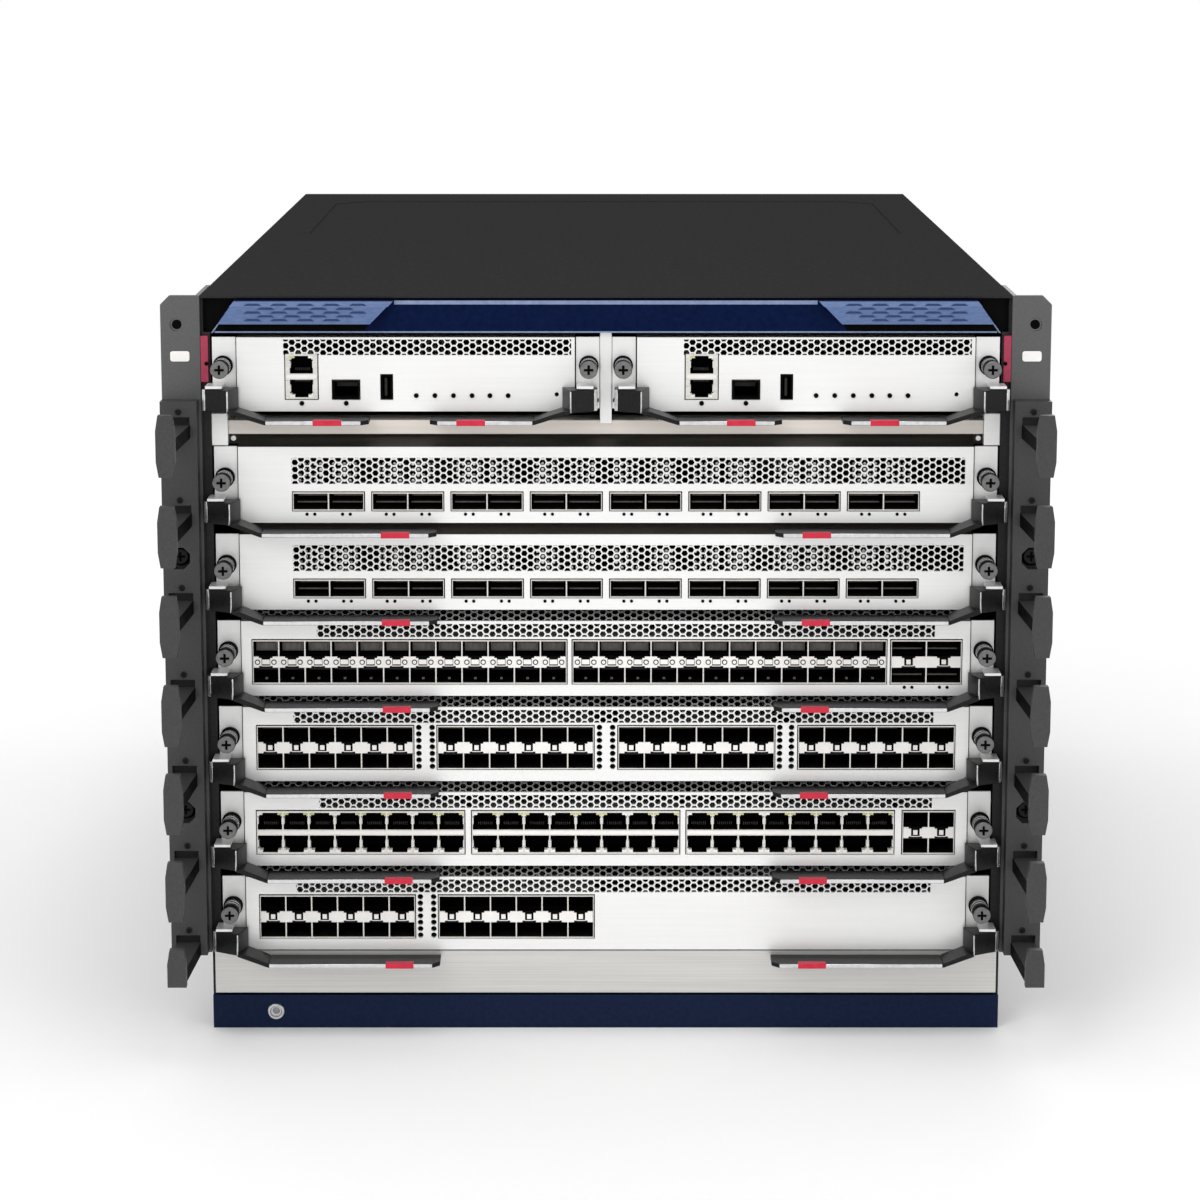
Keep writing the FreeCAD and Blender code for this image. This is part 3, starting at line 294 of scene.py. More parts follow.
# Finishes: two near colours, least and most roughness, metal, how fine the grain is (for all axes or each),
# then relief, gloss and the noise's own scale
FINISHES = {
    "faceplate_nickel": ((0.87, 0.867, 0.86), (0.9, 0.897, 0.89), (0.3, 0.38), 0.4, (6, 6, 300)),
    "cage_metal": ((0.66, 0.64, 0.6), (0.8, 0.78, 0.74), (0.2, 0.4), 0.7, (60, 60, 300)),
    "cage_inside": ((0.006, 0.0055, 0.005), (0.02, 0.018, 0.016), (0.35, 0.5), 0.5, (200, 40, 200)),
    "flap_metal": ((0.07, 0.062, 0.055), (0.13, 0.12, 0.11), (0.3, 0.45), 0.5, (300, 60, 60)),
    "bare_steel": ((0.5, 0.5, 0.5), (0.62, 0.62, 0.62), (0.3, 0.45), 0.9, (8, 500, 8)),
    # painted shade: a darkened copy of the nickel for the lips that lean back into shade
    "painted_shade_steel": ((0.2, 0.2, 0.2), (0.3, 0.3, 0.3), (0.35, 0.5), 0.6, (10, 500, 10)),
    "screw_metal": ((0.13, 0.13, 0.132), (0.19, 0.19, 0.193), (0.3, 0.42), 0.5, 300),
    "bright_metal": ((0.62, 0.62, 0.63), (0.75, 0.75, 0.76), (0.18, 0.3), 0.9, 200),
    "panel_silver": ((0.6, 0.59, 0.57), (0.7, 0.69, 0.67), (0.28, 0.42), 0.6, (5, 100, 700)),
    "light_plastic": ((0.84, 0.82, 0.79), (0.9, 0.88, 0.86), (0.3, 0.45), 0.0, 80),
    "dark_plastic": ((0.0012, 0.0012, 0.0014), (0.0025, 0.0025, 0.0028), (0.5, 0.65), 0.0, 120, 0.1, 0.03),
    "fan_plastic": ((0.07, 0.07, 0.072), (0.1, 0.1, 0.103), (0.4, 0.5), 0.0, 200, 0.1),
    "guide_plastic": ((0.036, 0.036, 0.037), (0.05, 0.05, 0.051), (0.35, 0.5), 0.0, 500, 0.25, 0.35),
    # painted shade: near black for the bay's shaded top band
    "black_paint": ((0.0015, 0.0015, 0.0017), (0.003, 0.003, 0.0034), (0.45, 0.6), 0.0, 300, 0.15, 0.05),
    "body_paint": ((0.02, 0.02, 0.0202), (0.029, 0.029, 0.0292), (0.5, 0.65), 0.0, 400, 0.25, 0.1),
    "lever_paint": ((0.005, 0.005, 0.0055), (0.01, 0.01, 0.0105), (0.28, 0.4), 0.0, 260, 0.1, 0.18),
    "cover_paint": ((0.024, 0.024, 0.024), (0.033, 0.033, 0.033), (0.6, 0.75), 0.0, 400, 0.3, 0.0),
    "ear_paint": ((0.085, 0.085, 0.086), (0.105, 0.105, 0.106), (0.4, 0.55), 0.0, 400, 0.2, 0.3),
    "rail_paint": ((0.014, 0.014, 0.015), (0.026, 0.026, 0.028), (0.35, 0.5), 0.3, (300, 30, 300), 0.0, 0.3),
    # dark edge paint, also used as painted shade on the plain lips of cards 1 and 2
    "edge_paint_and_shade": ((0.014, 0.012, 0.01), (0.024, 0.02, 0.016), (0.35, 0.5), 0.3, (30, 300, 300), 0.1, 0.3),
    "beam_beige": ((0.66, 0.61, 0.56), (0.72, 0.67, 0.62), (0.35, 0.5), 0.3, (10, 300, 200)),
    "navy_fascia": ((0.0015, 0.006, 0.032), (0.003, 0.009, 0.045), (0.45, 0.6), 0.0, 200, 0.1, 0.03),
    "base_navy": ((0.007, 0.013, 0.036), (0.01, 0.018, 0.048), (0.45, 0.6), 0.0, 200, 0.1, 0.03),
    # painted shade: dark blue for the shaded edges of the pads' hex relief
    "relief_blue": ((0.012, 0.028, 0.1), (0.02, 0.042, 0.135), (0.35, 0.45), 0.0, 200, 0.1, 0.3),
    "pad_blue": ((0.08, 0.13, 0.27), (0.115, 0.175, 0.34), (0.4, 0.5), 0.0, (120, 200, 500), 0.15, 0.25),
    # painted highlight: pale blue for the light caught along the fascia's edges
    "pale_blue": ((0.16, 0.21, 0.34), (0.22, 0.28, 0.42), (0.35, 0.45), 0.0, 200, 0.0, 0.3),
    "crimson_tab": ((0.33, 0.018, 0.06), (0.39, 0.026, 0.075), (0.35, 0.45), 0.0, 200),
    "red_mark": ((0.52, 0.014, 0.04), (0.6, 0.022, 0.055), (0.35, 0.5), 0.0, 150, 0.0, 0.3),
    "lamp": ((0.5, 0.5, 0.16), (0.66, 0.64, 0.3), (0.25, 0.35), 0.0, 300),
    "circuit_board": ((0.008, 0.05, 0.028), (0.014, 0.085, 0.045), (0.35, 0.6), 0.0, (240, 500, 240),
                      0.2, 0.5, 3.0),
    "floor": ((0.94, 0.94, 0.94), (0.95, 0.95, 0.95), (0.85, 0.95), 0.0, 2, 0.0, 0.0),
}


def node(tree, kind, **inputs):
    """Adds a node with its inputs set; an underscore stands for a space."""
    made = tree.nodes.new(f"ShaderNode{kind}")
    for name, value in inputs.items():
        made.inputs[name.replace("_", " ")].default_value = value
    return made


def connect(tree, *rows):
    """Draws links: a row is a node, its output, the next node and its input."""
    for source, output, target, socket in rows:
        tree.links.new(source.outputs[output], target.inputs[socket])


def finish(name):
    own_name = f"{name}_finish"  # the frame brings plain materials under the bare names
    return bpy.data.materials.get(own_name) or mix_finish(own_name, *FINISHES[name])


def mix_finish(name, colour, second, rough, metal, scale, bump=0.0, gloss=0.5, grain=2.0):
    """A procedural finish: uneven colour and roughness and a fine relief, on the object's own coordinates."""
    made = bpy.data.materials.new(name)
    made.use_nodes = True
    tree = made.node_tree
    shader = tree.nodes["Principled BSDF"]
    shader.inputs["Metallic"].default_value = metal
    shader.inputs["Specular IOR Level"].default_value = gloss
    stretch = scale if isinstance(scale, tuple) else (scale,) * 3
    where, mapping = node(tree, "TexCoord"), node(tree, "Mapping", Scale=stretch)
    noise = node(tree, "TexNoise", Scale=grain, Detail=4.0)
    ramp = node(tree, "ValToRGB")
    first, last = ramp.color_ramp.elements
    first.position, first.color = 0.3, (*colour, 1)
    last.position, last.color = 0.7, (*second, 1)
    spread = node(tree, "MapRange", To_Min=rough[0], To_Max=rough[1])
    connect(tree, (where, "Object", mapping, "Vector"), (mapping, "Vector", noise, "Vector"),
            (noise, "Fac", ramp, "Fac"), (noise, "Fac", spread, "Value"),
            (ramp, "Color", shader, "Base Color"), (spread, "Result", shader, "Roughness"))
    if bump:
        relief = node(tree, "Bump", Strength=bump, Distance=0.0002)
        connect(tree, (noise, "Fac", relief, "Height"), (relief, "Normal", shader, "Normal"))
    return made


def size(name, description, default):
    """A length property in metres."""
    return FloatProperty(name=name, description=description, default=default, unit="LENGTH", precision=5)


class FaceplateSizes(bpy.types.PropertyGroup):
    """Sizes of the folded and perforated faceplates."""

    sheet: size("Sheet", "Thickness of a faceplate", 0.002)
    inset: size("Inset", "From the body's side to a card's faceplate", 0.0195)
    wing: size("Wing", "From the body's side to the outer edge of a wing", 0.0063)
    gap: size("Gap", "Joint between a faceplate and its end brackets", 0.0007)
    wing_rise: size("Wing rise", "From a module's underside to its wings", 0.014)
    hole_pitch: size("Hole pitch", "Distance between perforations in a column", 0.0039)
    hole_bar: size("Bar", "Metal left between two perforations", 0.0007)
    lip: size("Lip", "Depth of the sheet folded back along a control module's top", 0.034)
    slope: size("Slope", "Length of the perforated strip that leans back above a card's faceplate", 0.0086)
    dot_radius: size("Dot radius", "Radius of the round air holes between port blocks", 0.0016)
    dot_pitch: size("Dot pitch", "Distance between round air holes", 0.0037)


class PortSizes(bpy.types.PropertyGroup):
    """Sizes of the sockets."""

    rise: size("Rise", "From a module's underside to its sockets", 0.0069)
    proud: size("Proud", "How far the cages stand ahead of the faceplate", 0.0006)
    opening: size("Opening", "Height of an opening", 0.0086)
    sill: size("Sill", "From a block's underside to its lower openings", 0.0006)
    row_pitch: size("Row pitch", "Distance between two rows of openings", 0.0147)
    cell: size("Cell", "Width of one small socket with its walls", 0.0144)
    wide_cell: size("Wide cell", "Width of one wide socket with its walls", 0.0194)
    cage_depth: size("Cage depth", "Depth of a cage behind the front", 0.048)
    jack_depth: size("Jack depth", "Depth of a jack block behind the front", 0.022)


class LeverSizes(bpy.types.PropertyGroup):
    """Sizes of the ejector levers."""

    root: size("Root", "Width of the faceted block that the lever turns on", 0.0188)
    ridge: size("Ridge", "From the outer edge to the block's front ridge", 0.0143)
    arm_end: size("Arm end", "From the outer edge to the end of a card lever's sloping arm", 0.0313)
    control_arm_end: size("Control arm end", "The same on the control modules' levers", 0.0343)
    arm_rise: size("Arm rise", "Height of the arm above the block's foot, where it leaves the block", 0.0012)
    bar: size("Bar", "Thickness of the long bar", 0.0024)
    mark: size("Mark", "Length of the red mark", 0.0155)
    mark_end: size("Mark end", "From the bar's tip to the red mark", 0.0145)


class TrimSizes(bpy.types.PropertyGroup):
    """Sizes of the screws, ear plates and the painted shade of the fascia's relief."""

    screw: size("Screw head", "Radius of a captive screw's head", 0.00475)
    sleeve: size("Sleeve", "Radius of a captive screw's sleeve", 0.0042)
    plate_width: size("Label width", "Width of the blank plate on each ear", 0.0104)
    plate_height: size("Label height", "Height of the blank plate on each ear", 0.0056)
    relief_pitch: size("Relief pitch", "Distance between the long hexagons on a fascia pad", 0.0142)
    hex_shade_width: size("Relief width", "Length of one long hexagon", 0.0096)


class RearSizes(bpy.types.PropertyGroup):
    """Sizes of the fan trays and power supplies."""

    guard_wire: size("Guard wire", "Thickness of a finger guard's rings", 0.0022)
    hub: size("Hub", "Radius of a fan's hub", 0.027)
    blades: IntProperty(name="Blades", description="Number of blades of a fan", default=7, min=3, max=12)
    guard_rings: IntProperty(name="Rings", description="Number of rings of a finger guard", default=6,
                             min=2, max=12)


class StageSizes(bpy.types.PropertyGroup):
    """Camera, light and floor."""

    camera_height: size("Camera height", "Height of the camera above the floor", 0.6165)
    camera_distance: size("Camera distance", "From the camera to the middle of the object", 2.1153)
    tilt: FloatProperty(name="Tilt", description="How far the camera looks down", default=math.radians(9.684),
                        subtype="ANGLE")
    lens: FloatProperty(name="Lens", description="Focal length in millimetres", default=99.577)


# What stands on each module's front, in metres across from the middle and up from its underside

def card_ports(index):
    """The port blocks of a line card: kind, left edge, columns and rows."""
    pairs = [("wide", -0.1709 + number * 0.0433, 2, 1) for number in range(8)]
    stacks = [("small", left, 6, 2) for left in (-0.1928, -0.0931, 0.0069, 0.1064)]
    layouts = [
        pairs,
        pairs,
        [("round", -0.1944, 12, 2), ("round", -0.0183, 12, 2), ("wide", 0.157, 2, 2)],
        stacks,
        [("jack", -0.1937, 8, 2), ("jack", -0.0743, 8, 2), ("jack", 0.0448, 8, 2), ("small", 0.1648, 2, 2)],
        stacks[:2],
    ]
    return layouts[index]


def card_vent(index):
    """The honeycomb field of a line card: its edges and the middle of one hole."""
    if index < 2:
        return (-0.1715, 0.196), (0.0215, 0.036), (-0.1696, 0.0334)
    start = -0.159 if index in (2, 4) else -0.1725
    return (start, 0.181), (0.0331, 0.0405), (start + 0.0021, 0.0347)


def card_dots(index):
    """Where a card's columns of round air holes stand."""
    columns = {3: (-0.1034, -0.096, -0.0035, 0.0038, 0.0962, 0.1027), 5: (-0.1034, -0.096)}
    return columns.get(index, ())


def block_height(rows):
    return 0.01 if rows == 1 else 0.0245


def cell_width(kind):
    sizes = bpy.context.scene.switch_ports
    return sizes.wide_cell if kind == "wide" else sizes.cell


def control_blocks(left):
    """The jack stack, the cage and the upright socket of a control module: left edge, width and height."""
    return [(left + 0.0398, 0.0174, 0.0245), (left + 0.0654, 0.0144, 0.01), (left + 0.0918, 0.0058, 0.013)]


def control_edges(name):
    """The left and right edges of a control module."""
    wing = bpy.context.scene.switch_faceplates.wing
    left = -HALF + wing if name.startswith("left") else POST
    return left, left + HALF - wing - POST


def module_base(name):
    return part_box(f"{name}_faceplate")[0].z


# Faceplates

def faceplate(name, edges, blocks, vent, holes, wings, lip=0.0):
    """A perforated plate with windows for its blocks, end brackets, and dark strips of painted shade in the
    joints beside them.

    A wing is its outer and inner edge and the middle of the tab that its lever turns on."""
    sizes, low = bpy.context.scene.switch_faceplates, module_base(name) + bpy.context.scene.switch_ports.rise
    base, top = (corner.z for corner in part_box(f"{name}_faceplate"))
    windows = [((x - FIT, x + width + FIT), (low - FIT, low + height + FIT)) for x, width, height in blocks]
    across, up, first = vent
    fields = [(across, (base + up[0], base + up[1]), (first[0], base + first[1]))]
    rounds = [(x, base + z, radius, reach) for x, z, radius, reach in holes]
    hexes = (sizes.hole_pitch, sizes.hole_bar)
    bm = perforated(edges, (base, top), windows, fields, rounds, hexes, sizes.sheet)
    bmesh.ops.transform(bm, matrix=facing_front(FRONT), verts=bm.verts)
    box(bm, edges, behind(sizes.sheet, 0.012), (base, base + 0.0015))
    tab = base + sizes.wing_rise
    for outer, inner, pivot in wings:
        box(bm, (outer, inner), behind(sizes.sheet, 2 * sizes.sheet), (base + 0.0014, top))
        box(bm, about(pivot, 0.0045), behind(-0.012, 0.001), (tab, tab + 0.0014))
    if lip:
        box(bm, edges, behind(sizes.sheet, sizes.sheet + lip), (top - 0.0015, top))
    # Painted shade: dark strips that show through the joints between the plate and its wings
    gap_shade_strips = bmesh.new()
    for edge in edges:
        box(gap_shade_strips, about(edge, 0.0016), behind(0.0024, 0.0034), (base + 0.0016, top - 0.0002))
    piece(f"{name}_gap_shade", gap_shade_strips, name, "faceplate_nickel", "dark_plastic")
    front = piece(f"{name}_front", bm, name, "faceplate_nickel", "faceplate_nickel")
    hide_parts(f"{name}_faceplate")
    return top


def card_plate(name, index, sizes):
    edge, outer, pivot = HALF - sizes.inset, HALF - sizes.wing, HALF - PIVOT_INSET
    inner = edge + sizes.gap
    blocks = [(x, columns * cell_width(kind), block_height(rows))
              for kind, x, columns, rows in card_ports(index)]
    dots = [(x, 0.0083 + row * sizes.dot_pitch, sizes.dot_radius, sizes.dot_pitch / 2 * 0.98)
            for x in card_dots(index) for row in range(7)]
    wings = [(-outer, -inner, -pivot), (outer, inner, pivot)]
    top = faceplate(name, (-edge, edge), blocks, card_vent(index), dots, wings)
    rows = [((0.006 - edge, edge - 0.006), (0.0002, sizes.slope - 0.0004), (card_vent(index)[2][0], 0.0018))]
    lip = perforated((-edge, edge), (0, sizes.slope), (), rows if index > 1 else (), (),
                     (sizes.hole_pitch, sizes.hole_bar), 0.0008)
    lean = Matrix.Translation((0, FRONT + 0.0008, top)) @ Matrix.Rotation(math.radians(48), 4, "X")
    bmesh.ops.transform(lip, matrix=lean, verts=lip.verts)
    # Painted shade: the lip leans back into the shade of the card above, so cards 3 to 6 get a darkened copy
    # of the nickel and cards 1 and 2 the dark edge paint
    piece(f"{name}_lip", lip, name, "faceplate_nickel", "painted_shade_steel" if index > 1 else "edge_paint_and_shade")


def control_plate(name, sizes):
    left, right = control_edges(name)
    edges = shrink((left, right), 0.0134)
    vent = (left + 0.0387, left + 0.1949), (0.0308, 0.0396), (left + 0.0401, 0.0359)
    outer, inner = HALF - PIVOT_INSET, 0.0113
    pivots = (-outer, -inner) if left < 0 else (inner, outer)
    wings = [(left, edges[0] - sizes.gap, pivots[0]), (right, edges[1] + sizes.gap, pivots[1])]
    button = (left + 0.187, 0.0093, 0.0012, 0.0025)
    faceplate(name, edges, control_blocks(left), vent, [button], wings, sizes.lip)


class SWITCH_OT_faceplates(bpy.types.Operator):
    """Build the perforated faceplates of the line cards and control modules"""

    bl_idname = "switch.faceplates"
    bl_label = "Faceplates"

    def execute(self, context):
        for index, name in enumerate(CARDS):
            card_plate(name, index, context.scene.switch_faceplates)
        for name in CONTROLS:
            control_plate(name, context.scene.switch_faceplates)
        return {"FINISHED"}


# Sockets

class PortKit:
    """The bmeshes that one module's sockets are gathered in."""

    def __init__(self, name):
        self.name = name
        self.shell, self.inside, self.pale, self.dark, self.lamp, self.flap = blanks(6)

    def save(self):
        rows = [("insides", self.inside, "cage_inside"), ("guides", self.pale, "light_plastic"),
                ("shells", self.dark, "dark_plastic"), ("lamps", self.lamp, "lamp"),
                ("flaps", self.flap, "flap_metal")]
        pieces(self.name, self.name, "nickel", ("cages", self.shell, "cage_metal"))
        pieces(self.name, self.name, "circuit_board", *(row for row in rows if row[1].verts))


def pocket(bm, x, y, z):
    """The inside of a socket: a box without its front."""
    verts = box(bm, x, y, z)
    front = [face for face in {face for vert in verts for face in vert.link_faces}
             if face.calc_center_median().y < y[0] + 1e-6]
    bmesh.ops.delete(bm, geom=front, context="FACES_ONLY")


def block_shell(kit, x, z, windows, depth):
    """A block's outer skin and its front frame."""
    proud = bpy.context.scene.switch_ports.proud
    absorb(kit.shell, perforated(x, z, windows, sheet=0.001), facing_front(FRONT - proud))
    pocket(kit.shell, x, behind(0.0004, depth), z)


def openings(x, z, columns, rows, cell, wall, sizes):
    """The mouths of a block, row by row from the bottom."""
    made = []
    for row in range(rows):
        low = z + sizes.sill + row * sizes.row_pitch
        for column in range(columns):
            left = x + column * cell
            made.append((shrink((left, left + cell), wall), (low, low + sizes.opening)))
    return made


def cage_block(kit, kind, x, z, columns, rows, sizes):
    """Small or wide cages with thin walls and, between two rows, their light guides."""
    cell = cell_width(kind)
    across, up = (x, x + columns * cell), (z, z + block_height(rows))
    mouths = openings(x, z, columns, rows, cell, 0.00035, sizes)
    tall = shrink(up, sizes.sill)
    block_shell(kit, across, up, [(mouth[0], tall) for mouth in mouths[:columns]], sizes.cage_depth)
    for number, (mouth, (z0, z1)) in enumerate(mouths):
        pocket(kit.inside, mouth, behind(0.0002, sizes.cage_depth - 0.003), (z0, z1))
        if kind == "wide":
            box(kit.flap, shrink(mouth, 0.0012), behind(0.008, 0.02), (z0 + 0.0024, z0 + 0.0032))
            catch = (mouth[0] + 0.0015, mouth[1] - 0.0012)
            box(kit.flap, catch, behind(0.012, 0.013), (z0 + 0.0056, z0 + 0.0066))
        elif kind == "round" and number >= columns:
            box(kit.flap, shrink(mouth, 0.001), behind(0.007, 0.0076), (z0 + 0.0018, z1 - 0.0006))
            box(kit.flap, shrink(mouth, 0.0022), behind(0.0062, 0.007), (z0 + 0.003, z1 - 0.0022))
        else:
            if kind == "round":
                box(kit.flap, about(sum(mouth) / 2, 0.0007), behind(0.003, 0.006), (z0 + 0.0012, z0 + 0.0022))
            box(kit.inside, shrink(mouth, 0.0012), behind(0.011, 0.02), (z0 + 0.0048, z0 + 0.0076))
    if rows == 2:
        strip = (z + sizes.sill + sizes.opening - 0.0001, z + sizes.sill + sizes.row_pitch + 0.0001)
        box(kit.dark, shrink(across, 0.0003), behind(0, 0.005), strip)
        light_guides(kit, kind, x, z, columns, cell)


def light_guides(kit, kind, x, z, columns, cell):
    """Pale stepped blocks on the walls between sockets and a square light in the middle of each."""
    middle = z + 0.01225
    left, right = shrink((x, x + columns * cell), 0.0005)
    for column in range(columns + 1):
        wall = x + column * cell
        for half, rise, ahead in ((cell / 2 - 0.0024, 0.0022, 0.0007), (cell / 2 - 0.0038, 0.0031, 0.0008)):
            across = (max(wall - half, left), min(wall + half, right))
            box(kit.pale, across, behind(-ahead, 0.001), about(middle, rise))
        for side in about(wall, 0.0027):
            if kind == "round" and left + 0.001 < side < right - 0.001:
                rod(kit.dark, (side, FRONT - 0.00085, middle), 0.0015, 0.0003, sides=14)
                rod(kit.pale, (side, FRONT - 0.00095, middle), 0.001, 0.0003, sides=12)
    for column in range(columns):
        centre = x + (column + 0.5) * cell
        half = 0.0021 if kind == "round" else 0.0012
        box(kit.pale, about(centre, half), behind(-0.0005, 0.001), about(middle, 0.0013))
        box(kit.pale, about(centre, 0.0024), behind(-0.0003, 0.001), (middle - 0.0025, middle - 0.0021))


def jack_block(kit, x, z, columns, sizes, cell, wall):
    """Jacks in two rows, with the latch's key above in the upper row and below in the lower one."""
    across, up = (x, x + columns * cell), (z, z + block_height(2))
    mouths = [(shrink((x + column * cell, x + (column + 1) * cell), wall), (z + low, z + low + 0.0097))
              for low in (0.0009, 0.0139) for column in range(columns)]
    block_shell(kit, across, up, mouths, sizes.jack_depth)
    box(kit.pale, shrink(across, 0.0006), behind(-0.0009, 0), (z + 0.0113, z + 0.0133))
    for number, (mouth, (z0, z1)) in enumerate(mouths):
        pocket(kit.dark, mouth, behind(0.0002, 0.014), (z0, z1))
        upper = number >= columns
        end, inward = (z1, -1) if upper else (z0, 1)
        for side, sign in zip(mouth, (1, -1)):
            target = kit.lamp if upper and (number + sign) % 3 else kit.pale
            box(target, (side, side + sign * 0.0026), behind(-0.0003, 0.004), (end, end + inward * 0.0013))
            box(kit.pale, (side, side + sign * 0.0008), behind(0, 0.004), (end, end + inward * 0.0021))
            box(kit.pale, (side, side + sign * 0.0004), behind(0, 0.003), shrink((z0, z1), 0.003))
        tongue = (z0 + 0.0006, z0 + 0.0022) if upper else (z1 - 0.0022, z1 - 0.0006)
        for pin in range(8):
            left = sum(mouth) / 2 - 0.0041 + pin * 0.00108
            box(kit.flap, (left, left + 0.0004), behind(0.008, 0.013), tongue)


def lenses(kit, x, z, columns, cell):
    """Small indicator lenses below a block of sockets."""
    for column in range(columns):
        for side in about(x + (column + 0.5) * cell, 0.0021):
            rod(kit.dark, (side, FRONT - 0.0001, z - 0.0021), 0.0009, 0.0006, sides=12)


def control_sockets(name, sizes):
    kit = PortKit(name)
    left, base = control_edges(name)[0], module_base(name)
    z = base + sizes.rise
    jack, cage, upright = control_blocks(left)
    jack_block(kit, jack[0], z, 1, sizes, jack[1], 0.0024)
    cage_block(kit, "small", cage[0], z, 1, 1, sizes)
    absorb(kit.dark, rim((cage[0], cage[0] + cage[1]), (z, z + cage[2]), 0.0008, 0.001),
           facing_front(FRONT - 0.001))
    x, up = (upright[0], upright[0] + upright[1]), (z, z + upright[2])
    absorb(kit.dark, rim(x, up, 0.0007, 0.012), facing_front(FRONT - sizes.proud))
    pocket(kit.dark, shrink(x, 0.0004), behind(0.002, 0.013), shrink(up, 0.0004))
    box(kit.inside, (x[0] + 0.0018, x[0] + 0.0031), behind(0.0006, 0.011), shrink(up, 0.0016))
    lamps = [(place, 0.0087) for place in (0.1107, 0.1208, 0.1309, 0.141, 0.1507, 0.1606)]
    for across, rise in (*lamps, (0.0485, 0.0045), (0.0726, 0.0045)):
        rod(kit.dark, (left + across, FRONT - 0.0003, base + rise), 0.0013, 0.001, sides=16)
    kit.save()


class SWITCH_OT_ports(bpy.types.Operator):
    """Build the sockets of every module"""

    bl_idname = "switch.ports"
    bl_label = "Sockets"

    def execute(self, context):
        sizes = context.scene.switch_ports
        for index, name in enumerate(CARDS):
            kit = PortKit(name)
            z = module_base(name) + sizes.rise
            for kind, x, columns, rows in card_ports(index):
                if kind == "jack":
                    jack_block(kit, x, z, columns, sizes, sizes.cell, 0.0004)
                else:
                    cage_block(kit, kind, x, z, columns, rows, sizes)
                if kind == "wide":
                    lenses(kit, x, z, columns, sizes.wide_cell)
            kit.save()
        for name in CONTROLS:
            control_sockets(name, sizes)
        return {"FINISHED"}


# Boards, levers and screws

def board_nose(name, low, high, top):
    """The board itself, narrower at its front where the levers are."""
    nose = FRONT + 0.01
    bm = bmesh.new()
    left = TAB if low.x < -HALF / 2 else 0.0
    right = TAB if high.x > HALF / 2 else 0.0
    box(bm, (low.x + left, high.x - right), (FRONT + 0.002, nose), (low.z, top))
    box(bm, (low.x, high.x), (nose, high.y), (low.z, top))
    board = piece(f"{name}_circuit", bm, name, "circuit_board", "circuit_board")
    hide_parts(f"{name}_board")


def board_parts(name, low, high, top):
    """Heat sinks, chips and the plug at the rear."""
    middle, half = (low.x + high.x) / 2, (high.x - low.x) / 2
    metal, chips, plug = blanks(3)
    whole_width = half > 0.15
    box(plug, about(middle, 0.15 if whole_width else 0.075), (high.y - 0.008, high.y), (top, top + 0.009))
    for share in (-0.5, 0.5) if whole_width else (0.0,):
        x = middle + share * half
        box(chips, about(x, 0.024), behind(0.13, 0.178), (top, top + 0.003))
        box(metal, about(x, 0.035), behind(0.115, 0.193), (top + 0.003, top + 0.006))
        for fin in range(18):
            left = x - 0.0345 + fin * 0.004
            box(metal, (left, left + 0.001), behind(0.115, 0.193), (top + 0.006, top + 0.022))
    for number in range(int(half / 0.012)):
        x = middle - half + 0.02 + number * 0.023
        box(chips, (x, x + 0.013), behind(0.215, 0.228), (top, top + 0.0015))
        box(chips, (x + 0.002, x + 0.01), behind(0.245, 0.257), (top, top + 0.006))
        rod(metal, (x + 0.016, FRONT + 0.27, top + 0.004), 0.0035, 0.008, "Z", 12)
    pieces(name, name, "circuit_board", ("heat_sinks", metal, "bright_metal"),
           ("chips", chips, "dark_plastic"), ("plug", plug, "light_plastic"))


def pin_sinks(name, top):
    """Pin heat sinks on the wide cages; their near ends show through the vent."""
    bm = bmesh.new()
    for kind, x, columns, rows in card_ports(0):
        box(bm, (x + 0.001, x + 0.038), behind(0.004, 0.046), (top + 0.0101, top + 0.012))
        for group in (0.0035, 0.0222):
            for row in range(4):
                for column in range(5):
                    place = (x + group + column * 0.0029, FRONT + 0.0068, top + 0.0158 + row * 0.0031)
                    rod(bm, place, 0.0009, 0.0056, sides=8)
    piece(f"{name}_pins", bm, name, "circuit_board", "bright_metal")


class SWITCH_OT_boards(bpy.types.Operator):
    """Build the circuit boards with their chips, heat sinks and rear connectors"""

    bl_idname = "switch.boards"
    bl_label = "Boards"

    def execute(self, context):
        for name in CARDS + CONTROLS:
            low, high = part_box(f"{name}_board")
            top = module_base(name) + context.scene.switch_ports.rise
            board_nose(name, low, high, top)
            board_parts(name, low, high, top)
            if name in CARDS[:2]:
                pin_sinks(name, top)
        return {"FINISHED"}


